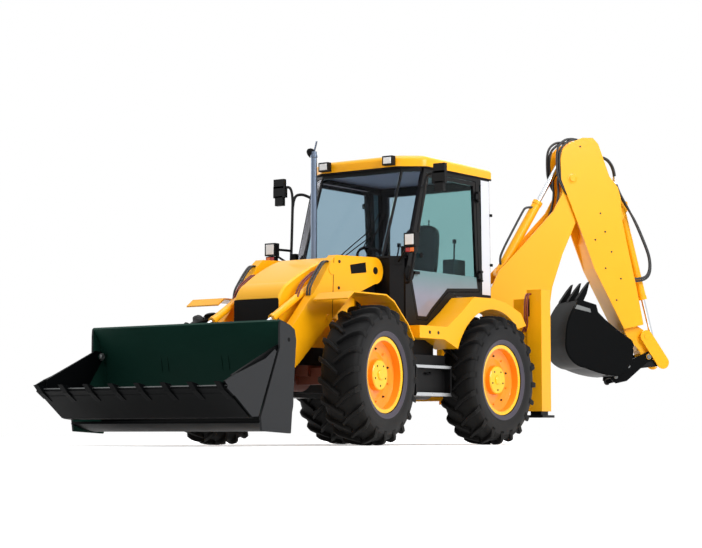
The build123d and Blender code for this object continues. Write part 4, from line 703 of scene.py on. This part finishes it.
def roof_seal():
    """Dark strip under the roof's front edge, its front corners and its sides."""
    runs = [(1.061, -0.520, 1.061, 0.520)]
    for x0, y0, x1, y1 in SEAL_RUNS:
        runs += [(x0, hand * y0, x1, hand * y1) for _, hand in SIDES]
    seal = Mesh()
    for x0, y0, x1, y1 in runs:
        outer = [(x0, y0, SEAL_LOW), (x1, y1, SEAL_LOW), (x1, y1, SEAL_HIGH), (x0, y0, SEAL_HIGH)]
        prism(seal, outer, [(x - 0.02, y * 0.97, z) for x, y, z in outer])
    seal.piece("roof_seal", "chassis", SEAL, "dark_plastic", smooth=0)


crowned_roof()
roof_seal()

# ---- cab sides: bonded glass, door knobs and mirrors --------------------
DOOR_GLASS = [(-0.128, 1.846), (-0.150, 1.722), (0.452, 1.686), (0.772, 1.446), (0.860, 1.362),
              (1.008, 1.362), (1.134, 1.785), (1.118, 1.846)]
QUARTER_GLASS = [(-0.246, 1.660), (-0.418, 1.660), (-0.392, 2.940), (-0.224, 2.940)]
POLE_TOP = (1.098, 0.876, 2.600)           # where the tube from the cab meets the mirror's pole
POLE = [(1.232, 0.753, 1.700), (1.232, 0.792, 1.700), (1.228, 0.806, 1.745), (1.160, 0.840, 2.170),
        POLE_TOP, (1.090, 0.880, 2.700)]
CAB_TUBE = [(0.935, 0.758, 2.740), (0.962, 0.805, 2.768), (1.000, 0.845, 2.775), (1.045, 0.870, 2.760),
            (1.082, 0.878, 2.700), POLE_TOP]
MIRROR_ARM = [(1.092, 0.879, 2.640), (1.088, 0.884, 2.740), (1.082, 0.910, 2.835), (1.076, 0.960, 2.865),
              (1.074, 1.010, 2.850)]
LAMP_BAR = [(1.388, 0.875, 2.130), (1.290, 0.860, 2.132), (1.166, 0.838, 2.130)]
POLE_R, ARM_R, BAR_R = 0.0160, 0.015, 0.014
MIRROR_X = (1.048, 1.098)
MIRROR_BLOCKS = (                          # y and z of the three blocks that the head is made of
    ((1.005, 1.150), (2.850, 2.955)), ((0.988, 1.154), (2.745, 2.875)), ((1.020, 1.130), (2.655, 2.765)))
MIRROR_GLASS = (1.044, 1.0485), (1.000, 1.142), (2.757, 2.945)
CORNER_BLOCK = (1.212, 1.262), (0.705, 0.780), (1.985, 2.085)
KNOB_X, KNOB_Z, KNOB = 0.955, 2.010, ((0.030, 0.006), (0.018, 0.012))


def cab_glass_skins(side, hand):
    door, quarter = Mesh(), Mesh()
    slab(door, DOOR_GLASS, on_side(hand * (CAB_HALF - 0.0018)), on_side(hand * (CAB_HALF + 0.0010)))
    door.piece("door_skin_" + side, "door_" + side, DOOR_GLASS_REFLECTION, "glass", smooth=0, bevel=0.001)
    slab(quarter, QUARTER_GLASS, on_side(hand * (CAB_HALF + 0.0025)), on_side(hand * (CAB_HALF + 0.0045)))
    # black block at the windscreen's lower corner
    box(quarter, hand, *CORNER_BLOCK, 1)
    quarter.piece("quarter_skin_" + side, "chassis", [QUARTER_REFLECTION, SEAL], "glass", smooth=0, bevel=0.001)


def door_knob(side, hand):
    knob = Mesh()
    at = (KNOB_X, hand * (CAB_HALF + 0.0005), KNOB_Z)
    stud(knob, at, (0, hand, 0), *KNOB, 24)
    knob.piece("door_knob_" + side, "door_" + side, SEAL, "dark_plastic", smooth=30)


def mirror(side, hand):
    """Pole beside the windscreen, curved tube to the cab, curved arm, and the head with its glass."""
    name = "mirror_" + side
    tube(name + "_pole", POLE, POLE_R, PLASTIC, "chassis", hand)
    tube(name + "_tube", CAB_TUBE, POLE_R, PLASTIC, "chassis", hand)
    tube(name + "_arm", MIRROR_ARM, ARM_R, PLASTIC, "chassis", hand)
    tube(name + "_lamp_bar", LAMP_BAR, BAR_R, PLASTIC, "chassis", hand)
    head = Mesh()
    for ys, zs in MIRROR_BLOCKS:
        box(head, hand, MIRROR_X, ys, zs)
    box(head, hand, *MIRROR_GLASS, 1)
    piece = head.piece(name + "_head", "chassis", [PLASTIC, MIRROR], "dark_plastic", smooth=40, bevel=0.012)
    if side == "left":
        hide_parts("mirrors")


for side, hand in SIDES:
    cab_glass_skins(side, hand)
    door_knob(side, hand)
    mirror(side, hand)

# ---- windscreen wipers --------------------------------------------------
SCREEN_X, SCREEN_SLOPE = 1.360, 0.3734     # the windscreen's face at its foot, and how far it leans back
WIPERS = ((0.060, 0.400, 2.240), (-0.010, 0.330, 2.285))     # y of the pivot, then y and z of the arm's end
PIVOT_AT, PIVOT = (1.358, 1.984), ((0.016, 0.020), (0.010, 0.032))
ARM_START_Z, WIPER_R, BLADE_REACH = 2.010, 0.006, 0.20


def before_screen(y, z, lift=0.020):
    """A point just in front of the sloping windscreen."""
    return (SCREEN_X + lift - (z - CAB_FRONT_Z) * SCREEN_SLOPE, y, z)


def wipers():
    pivots = Mesh()
    for n, (y0, y1, z1) in enumerate(WIPERS):
        stud(pivots, on_side(y0)(PIVOT_AT), UP, *PIVOT)
        arm = [before_screen(y0, ARM_START_Z),
               before_screen((y0 + y1) / 2, (ARM_START_Z + z1) / 2 + 0.01),
               before_screen(y1, z1)]
        blade = [before_screen(y1 - 0.06, z1 - BLADE_REACH, 0.012),
                 before_screen(y1, z1, 0.014),
                 before_screen(y1 + 0.05, z1 + BLADE_REACH, 0.012)]
        tube("wiper_arm_%d" % n, arm, WIPER_R, SEAL, "chassis")
        tube("wiper_blade_%d" % n, blade, WIPER_R, SEAL, "chassis")
    pivots.piece("wiper_pivots", "chassis", SEAL, "dark_plastic", smooth=30)


wipers()

# ---- cab corners, painted shade under the floor, sills, tank handles and grille ---
REAR_TABS = (((-0.432, -0.398), (2.545, 2.575)), ((-0.437, -0.403), (1.985, 2.015)))      # x and z
TAB_Y, POST_FOOT, FOOT_STEP = (0.70, 0.775), (1.175, 1.800), ((0.085, 0.010), (0.070, 0.022))
UNDERFLOOR_SHADE_Y = (0.5405, 0.800)
UNDERFLOOR_SHADE_BOXES = (((0.800, 1.385), (0.9405, 1.104)), ((0.980, 1.385), (1.100, 1.178)))      # x and z
SILL_SIDE, SILL_Z, SILL_BOLT_X, SILL_BOLT = 1.050, 1.170, (1.075, 1.235), (0.014, 0.009)
HANDLE = [(1.070, 0.930, 0.755), (1.070, 0.950, 0.755), (1.085, 0.955, 0.740), (1.135, 0.955, 0.735),
          (1.150, 0.950, 0.750), (1.150, 0.930, 0.750)]
HANDLE_R = 0.009
GRILLE_HALF, GRILLE_LOW, GRILLE_HIGH, GRILLE_CORNER = 0.288, 1.200, 1.488, 0.04
GRILLE_CUT, GRILLE_X = 1.468, (2.7955, 2.7990)     # the rim is cut off at this height, under the hood


def cab_tabs():
    """Tabs on the cab's rear corners, and the rounded step of each front post's foot."""
    tabs = Mesh()
    for _, hand in SIDES:
        for xs, zs in REAR_TABS:
            box(tabs, hand, xs, TAB_Y, zs)
        foot = on_side(hand * (CAB_HALF - 0.005))(POST_FOOT)
        stud(tabs, foot, (0, hand, 0), *FOOT_STEP, 32, crown=0.002)
    tabs.piece("cab_tabs", "chassis", SEAL, "dark_plastic", bevel=0.003)


def underfloor_shade():
    """Black blocks between the cab's floor and the tanks: painted shade in the dark space under the floor.
    """
    shade_boxes = Mesh()
    for _, hand in SIDES:
        for xs, zs in UNDERFLOOR_SHADE_BOXES:
            box(shade_boxes, hand, xs, UNDERFLOOR_SHADE_Y, zs)
    shade_boxes.piece("underfloor_shade", "chassis", BLACK, "frame_black", bevel=0.004)


def sill_bolts():
    bolts = Mesh()
    for _, hand in SIDES:
        for x in SILL_BOLT_X:
            bolt(bolts, (x, hand * SILL_SIDE, SILL_Z), (0, hand, 0), *SILL_BOLT)
    bolts.piece("sill_bolts", "chassis", BOLT, "frame_black", smooth=30)


def grille_surround():
    """Rounded rim about the grille, cut off under the hood."""
    r = GRILLE_CORNER
    y0, z0, z1 = GRILLE_HALF - r, GRILLE_LOW + r, GRILLE_HIGH - r
    rim = []
    for y, z, start in ((y0, z1, 0), (-y0, z1, 90), (-y0, z0, 180), (y0, z0, 270)):
        for k in range(5):
            a = radians(start + 22.5 * k)
            rim.append((y + r * cos(a), min(z + r * sin(a), GRILLE_CUT)))
    surround = Mesh()
    prism(surround, *[[(x, y, z) for y, z in rim] for x in GRILLE_X])
    surround.piece("grille_surround", "chassis", SEAL, "frame_black", smooth=0)


cab_tabs()
underfloor_shade()
sill_bolts()
for side, hand in SIDES:
    tube("tank_handle_" + side, HANDLE, HANDLE_R, SEAL, "chassis", hand)
grille_surround()

# ---- loader arms: seams, hoses, bolts and blank plates ------------------
ARM_SEAM = [(2.196, 1.905), (2.204, 1.905), (2.232, 1.290), (2.224, 1.290)]
ARM_BOLTS, ARM_BOLT = ((2.110, 1.870), (2.120, 1.600)), ((0.017, 0.006), (0.012, 0.011))
BLANK_PLATE = [(1.640, 1.790), (1.905, 1.758), (1.925, 1.850), (1.655, 1.895)]    # near the rear end
ARM_HOSE = [(2.225, 1.850), (2.285, 1.880), (2.380, 1.800), (2.500, 1.655), (2.560, 1.570),
            (2.560, 1.500)]
TILT_HOSE = [(2.305, 1.680), (2.318, 1.775), (2.420, 1.730), (2.610, 1.600), (2.655, 1.480)]
ARM_HOSE_Y, TILT_HOSE_IN = (0.462, 0.496), 0.075        # the ram's hoses run this far inside the arm's
ARM_HOSE_R, TILT_HOSE_R = 0.011, 0.009


def arm_seams():
    seams = Mesh()
    for _, hand in SIDES:
        slab(seams, ARM_SEAM, on_side(hand * (ARM_OUT + 0.0005)), on_side(hand * (ARM_OUT + 0.0015)))
    seams.piece("arm_grooves", "loader_arms", SEAL, "frame_black", smooth=0)


def arm_hoses(side, hand):
    for n, y in enumerate(ARM_HOSE_Y):
        arm = [on_side(y)(p) for p in ARM_HOSE]
        ram = [on_side(y - TILT_HOSE_IN)(p) for p in TILT_HOSE]
        tube("arm_hose_%s_%d" % (side, n), arm, ARM_HOSE_R, HOSE, "loader_arms", hand)
        tube("tilt_hose_%s_%d" % (side, n), ram, TILT_HOSE_R, HOSE_RED, "tilt_ram_barrels", hand)


def arm_fasteners():
    bolts, plates = Mesh(), Mesh()
    for _, hand in SIDES:
        for p in ARM_BOLTS:
            stud(bolts, on_side(hand * ARM_OUT)(p), (0, hand, 0), *ARM_BOLT, sunk=0.001)
        slab(plates, BLANK_PLATE, on_side(hand * (ARM_OUT + 0.0005)), on_side(hand * (ARM_OUT + 0.0025)))
    bolts.piece("arm_bolts", "loader_arms", BOLT, "frame_black", smooth=30)
    plates.piece("arm_plates", "loader_arms", SEAL, "frame_black")


arm_seams()
for side, hand in SIDES:
    arm_hoses(side, hand)
arm_fasteners()

# ---- backhoe: bolts and pin ends ----------------------------------------
DIPPER_BOLTS = ((1.245, 3.560), (1.500, 2.760), (1.560, 2.540), (1.430, 2.440), (1.640, 2.300),
                (1.560, 2.100), (1.760, 1.980), (1.700, 1.720))
DIPPER_BOLT = (0.011, 0.004), (0.007, 0.008)
PIN_END = [(0.062, -0.001), (0.062, 0.004), (0.042, 0.006), (0.042, 0.014), (0.036, 0.018), (0, 0.018)]
HITCH_PINS = ((HITCH_PIN, 0.026), (LINK_EYE, 0.026), (HOE_PIN, 0.030))      # place and radius


def dipper_bolts():
    bolts = Mesh()
    for p in DIPPER_BOLTS:
        for k in (1, -1):
            stud(bolts, on_hoe(k * DIPPER_HALF)(p), HOE_SIDEWAYS * k, *DIPPER_BOLT, 14, sunk=0.001)
    bolts.piece("dipper_bolts", "dipper", BOLT, "frame_black", smooth=30)


def dipper_pin_ends():
    ends = Mesh()
    for k in (1, -1):
        lathe(ends, on_hoe(k * DIPPER_HALF)(DIPPER_PIN), HOE_SIDEWAYS * k, PIN_END, 32)
    ends.piece("dipper_pin_ends", "dipper", YELLOW, "body_yellow", smooth=30)


def hitch_pin_ends():
    ends = Mesh()
    for p, r in HITCH_PINS:
        for k in (1, -1):
            at = on_hoe(k * HITCH_HALF)(p)
            stud(ends, at, HOE_SIDEWAYS * k, (r, 0.008), (r - 0.008, 0.014), 24, sunk=0.005)
    ends.piece("hitch_pin_ends", "hoe_bucket", PALE_STEEL_AND_HIGHLIGHT, "chrome", smooth=30)


dipper_bolts()
dipper_pin_ends()
hitch_pin_ends()

# ---- backhoe: hoses -----------------------------------------------------
HOSE_R, LOOP_R, HEAD_R = 0.014, 0.0135, 0.0145
DIPPER_HOSES = ((0.150, 0.0, "a"), (0.122, 0.028, "b"))      # plane, how far outside the first, name
CROWD_PLANE, BOOM_HEAD_PLANE, DIPPER_HEAD_PLANE = 0.030, 0.075, 0.150
CLIP_FROM, CLIP_TO, HEAD_HOSES_APART = 0.108, 0.164, 0.029
UPPER_HOSE = [(1.500, 3.450), (1.585, 3.440), (1.660, 3.370), (1.700, 3.270), (1.705, 3.200)]
FITTING_TOP, FITTING_END = (1.704, 3.215), (1.712, 3.110)
FITTING = [(0.015, 0), (0.018, 0.006), (0.018, 0.05), (0.013, 0.056), (0.013, 0.085)]
CLIP = [(1.655, 3.125), (1.725, 3.125), (1.725, 3.150), (1.655, 3.150)]
CROWD_HOSE = [(0.262, 2.120), (0.245, 2.180), (0.290, 2.300), (0.440, 2.570), (0.535, 2.740),
              (0.590, 2.830), (0.690, 2.815)]
BOOM_HEAD_HOSE = [(0.905, 2.660), (0.960, 2.780), (0.985, 2.900), (1.000, 3.020), (0.985, 3.140),
                  (1.010, 3.230), (1.085, 3.275)]


def loop_points(apart):
    """Long loop down the dipper's rear face; apart is how far it lies outside the first one."""
    return [(1.712, 3.150), (1.745, 3.050), (1.835, 2.900), (1.950 + apart, 2.700), (2.065 + apart, 2.450),
            (2.150 + apart, 2.240), (2.145 + apart, 2.060 - apart), (2.060, 1.985 - apart),
            (1.938, 1.985 - apart)]


def head_points(ahead):
    """Along the front edge of the dipper's head; ahead is how far it lies in front of the first one."""
    return [(1.078, 2.975), (0.985 - ahead, 3.130), (0.970 - ahead, 3.400), (0.988 - ahead, 3.525 + ahead),
            (1.080 - ahead, 3.612 + ahead), (1.175, 3.652), (1.225, 3.636)]


def dipper_hoses():
    """Beside the sliding section: a short pair with pale fittings, then the long double loop."""
    fittings = Mesh()
    for n, apart, tag in DIPPER_HOSES:
        top, end = on_hoe(n)(FITTING_TOP), on_hoe(n)(FITTING_END)
        hoe_tube("dipper_hose_upper_" + tag, n, UPPER_HOSE, HOSE_R, HOSE, "dipper")
        lathe(fittings, top, end - top, FITTING, 14)
        hoe_tube("dipper_hose_loop_" + tag, n, loop_points(apart), LOOP_R, HOSE, "dipper")
    slab(fittings, CLIP, on_hoe(CLIP_FROM), on_hoe(CLIP_TO))
    fittings.piece("hose_fittings", "dipper", STEEL, "chrome", smooth=30)


def head_hoses():
    """Up the front of the boom's head, and on along the front edges of the dipper's plates."""
    for k, tag in ((1, "a"), (-1, "b")):
        hoe_tube("boom_head_hose_" + tag, BOOM_HEAD_PLANE * k, BOOM_HEAD_HOSE, HOSE_R, HOSE, "boom")
        for n in range(2):
            name, points = "dipper_head_hose_%s_%d" % (tag, n), head_points(n * HEAD_HOSES_APART)
            hoe_tube(name, DIPPER_HEAD_PLANE * k, points, HEAD_R, HOSE, "dipper")


dipper_hoses()
hoe_tube("crowd_hose", CROWD_PLANE, CROWD_HOSE, HOSE_R, HOSE, "crowd_ram_barrel")
head_hoses()

# ---- backhoe bucket: painted highlight strip and lifting hook -----------
SIDE_HIGHLIGHT = [(1.094, 1.598), (1.120, 1.645), (1.290, 1.600), (1.300, 1.555)]
BACK_HIGHLIGHT = [(1.0845, 1.602), (1.1110, 1.652), (1.1090, 1.653), (1.0825, 1.603)]
HOOK = [(1.640, 0.790), (1.600, 0.790), (1.560, 0.770), (1.555, 0.725), (1.590, 0.705), (1.610, 0.720)]
HOOK_PLANE, HOOK_R = 0.110, 0.011


def hoe_bucket_highlight():
    """Painted highlight: a light strip across the back sheet under the teeth, and on both side plates."""
    highlight = Mesh()
    for k in (1, -1):
        slab(highlight, SIDE_HIGHLIGHT, on_hoe(k * (HOE_HALF + 0.0002)), on_hoe(k * (HOE_HALF + 0.0024)))
    slab(highlight, BACK_HIGHLIGHT, on_hoe(HOE_HALF - 0.002), on_hoe(0.002 - HOE_HALF))
    highlight.piece("hoe_bucket_highlight", "hoe_bucket", PALE_STEEL_AND_HIGHLIGHT, "bucket_grey", smooth=0)


hoe_bucket_highlight()
hoe_tube("hoe_hook", HOOK_PLANE, HOOK, HOOK_R, BLACK, "hoe_bucket")

# ---- stabilisers: painted shade in the slots, and hoses -----------------
LEG_HOSE = [(-0.845, 0.985, 1.690), (-0.800, 0.985, 1.700), (-0.775, 0.980, 1.600), (-0.780, 0.975, 1.450),
            (-0.830, 0.950, 1.330), (-0.858, 0.900, 1.270)]
LEG_HOSES_APART, LEG_HOSE_R = 0.032, 0.011
SLOT_X, SLOT_Y, SLOT_Z = (LEG_FRONT_X - 0.0005, LEG_FRONT_X + 0.003), (0.962, 0.998), (1.440, 1.640)


def stabiliser_slot_shade():
    slots = Mesh()
    for _, hand in SIDES:
        # a thin black sheet on each box's front face: painted shade inside the slot
        box(slots, hand, SLOT_X, SLOT_Y, SLOT_Z)
    slots.piece("stabiliser_slot_shade", "chassis", SEAL, "frame_black", smooth=0)


def stabiliser_hoses(side, hand):
    for n in range(2):
        points = [(x, y + n * LEG_HOSES_APART, z) for x, y, z in LEG_HOSE]
        tube("stabiliser_hose_%s_%d" % (side, n), points, LEG_HOSE_R, HOSE_RED, "chassis", hand)


stabiliser_slot_shade()
for side, hand in SIDES:
    stabiliser_hoses(side, hand)

# ---- light --------------------------------------------------------------
LAMPS = (                        # name, place, aim, size, power
    ("key", (3.0, 13.0, 9.0), (0.8, 0, 1.2), (9, 7), 1850),
    ("front", (14.0, 3.0, 5.0), (1.5, 0, 1.0), (6, 5), 130),
    ("top", (0.5, 0.5, 12.0), (0.5, 0, 0), (10, 8), 720),
    ("rear", (-12.0, -3.0, 7.0), (-0.5, 0, 1.0), (7, 6), 700),
    ("right", (2.0, -13.0, 6.0), (0.8, 0, 1.2), (8, 6), 600),
)
AMBIENT, WHITE = 0.27, (1, 1, 1, 1)


def lamp(name, at, aim, size, power):
    data = bpy.data.lights.new(name, "AREA")
    data.shape = "RECTANGLE"
    data.size, data.size_y = size
    data.energy = power
    obj = bpy.data.objects.new(name, data)
    obj.location = at
    obj.rotation_euler = (Vector(aim) - Vector(at)).to_track_quat("-Z", "Y").to_euler()
    scene.collection.objects.link(obj)


def seen(tree):
    """1 for what the camera, a reflection or a look through glass shows, and 0 for light on the object."""
    ray = node(tree, "LightPath").outputs
    direct = maths(tree, "MAXIMUM", ray["Is Camera Ray"], ray["Is Glossy Ray"])
    return maths(tree, "MAXIMUM", direct, ray["Is Transmission Ray"])


def world_light():
    """White where it is seen, and a soft ambient light on the object."""
    world = scene.world or bpy.data.worlds.new("world")
    scene.world = world
    world.use_nodes = True
    tree = world.node_tree
    tree.nodes.clear()
    dim = node(tree, "Background", {"Color": WHITE, "Strength": AMBIENT})
    bright = node(tree, "Background", {"Color": WHITE, "Strength": 1.0})
    pick = node(tree, "MixShader", {0: seen(tree), 1: dim.outputs[0], 2: bright.outputs[0]})
    node(tree, "OutputWorld", {"Surface": pick.outputs[0]})


scene.view_settings.view_transform = "Standard"
for row in LAMPS:
    lamp(*row)
world_light()

# ---- floor --------------------------------------------------------------
FLOOR_HALF, FLOOR_TONE = 60, 0.9
GLOW_NEAR, GLOW_FAR = (4.5, 0.30), (9.0, 1.0)      # distance from the origin, and the floor's own light


def floor_white():
    """Matt white whose own light grows away from the machine, where the lamps reach less."""
    mat = bpy.data.materials.new("floor_white")
    mat.use_nodes = True
    tree = mat.node_tree
    tree.nodes.clear()
    place = node(tree, "TexCoord").outputs["Object"]
    far = node(tree, "VectorMath", {0: place}, operation="LENGTH").outputs["Value"]
    rise = ramp(tree, far, GLOW_NEAR[0], GLOW_FAR[0], GLOW_NEAR[1], GLOW_FAR[1])
    glow = node(tree, "Emission", {"Color": WHITE, "Strength": maths(tree, "MULTIPLY", seen(tree), rise)})
    matt = node(tree, "BsdfDiffuse", {"Color": (FLOOR_TONE, FLOOR_TONE, FLOOR_TONE, 1)})
    both = node(tree, "AddShader", {0: glow.outputs[0], 1: matt.outputs[0]})
    node(tree, "OutputMaterial", {"Surface": both.outputs[0]})
    return mat


def floor():
    e = FLOOR_HALF
    data = bpy.data.meshes.new("floor")
    data.from_pydata([(-e, -e, 0), (e, -e, 0), (e, e, 0), (-e, e, 0)], [], [(0, 1, 2, 3)])
    data.materials.append(floor_white())
    obj = bpy.data.objects.new("floor", data)
    scene.collection.objects.link(obj)


floor()

# ---- camera: a long lens near the floor, at the photograph's angle ------
CAMERA_AT = (17.673, 12.196, 0.10)
AZIMUTH, PITCH = radians(36.5), radians(4.826)     # it looks from this direction, tilted up by the pitch
SENSOR, FOCAL = 36.0, 98.09231                     # width of the sensor and focal length, in millimetres


def camera():
    data = bpy.data.cameras.new("camera")
    data.sensor_width = SENSOR
    data.lens = FOCAL
    data.clip_end = 200
    obj = bpy.data.objects.new("camera", data)
    obj.location = CAMERA_AT
    facing = Vector((-cos(AZIMUTH) * cos(PITCH), -sin(AZIMUTH) * cos(PITCH), sin(PITCH)))
    obj.rotation_euler = facing.to_track_quat("-Z", "Y").to_euler()
    scene.collection.objects.link(obj)
    scene.camera = obj


camera()
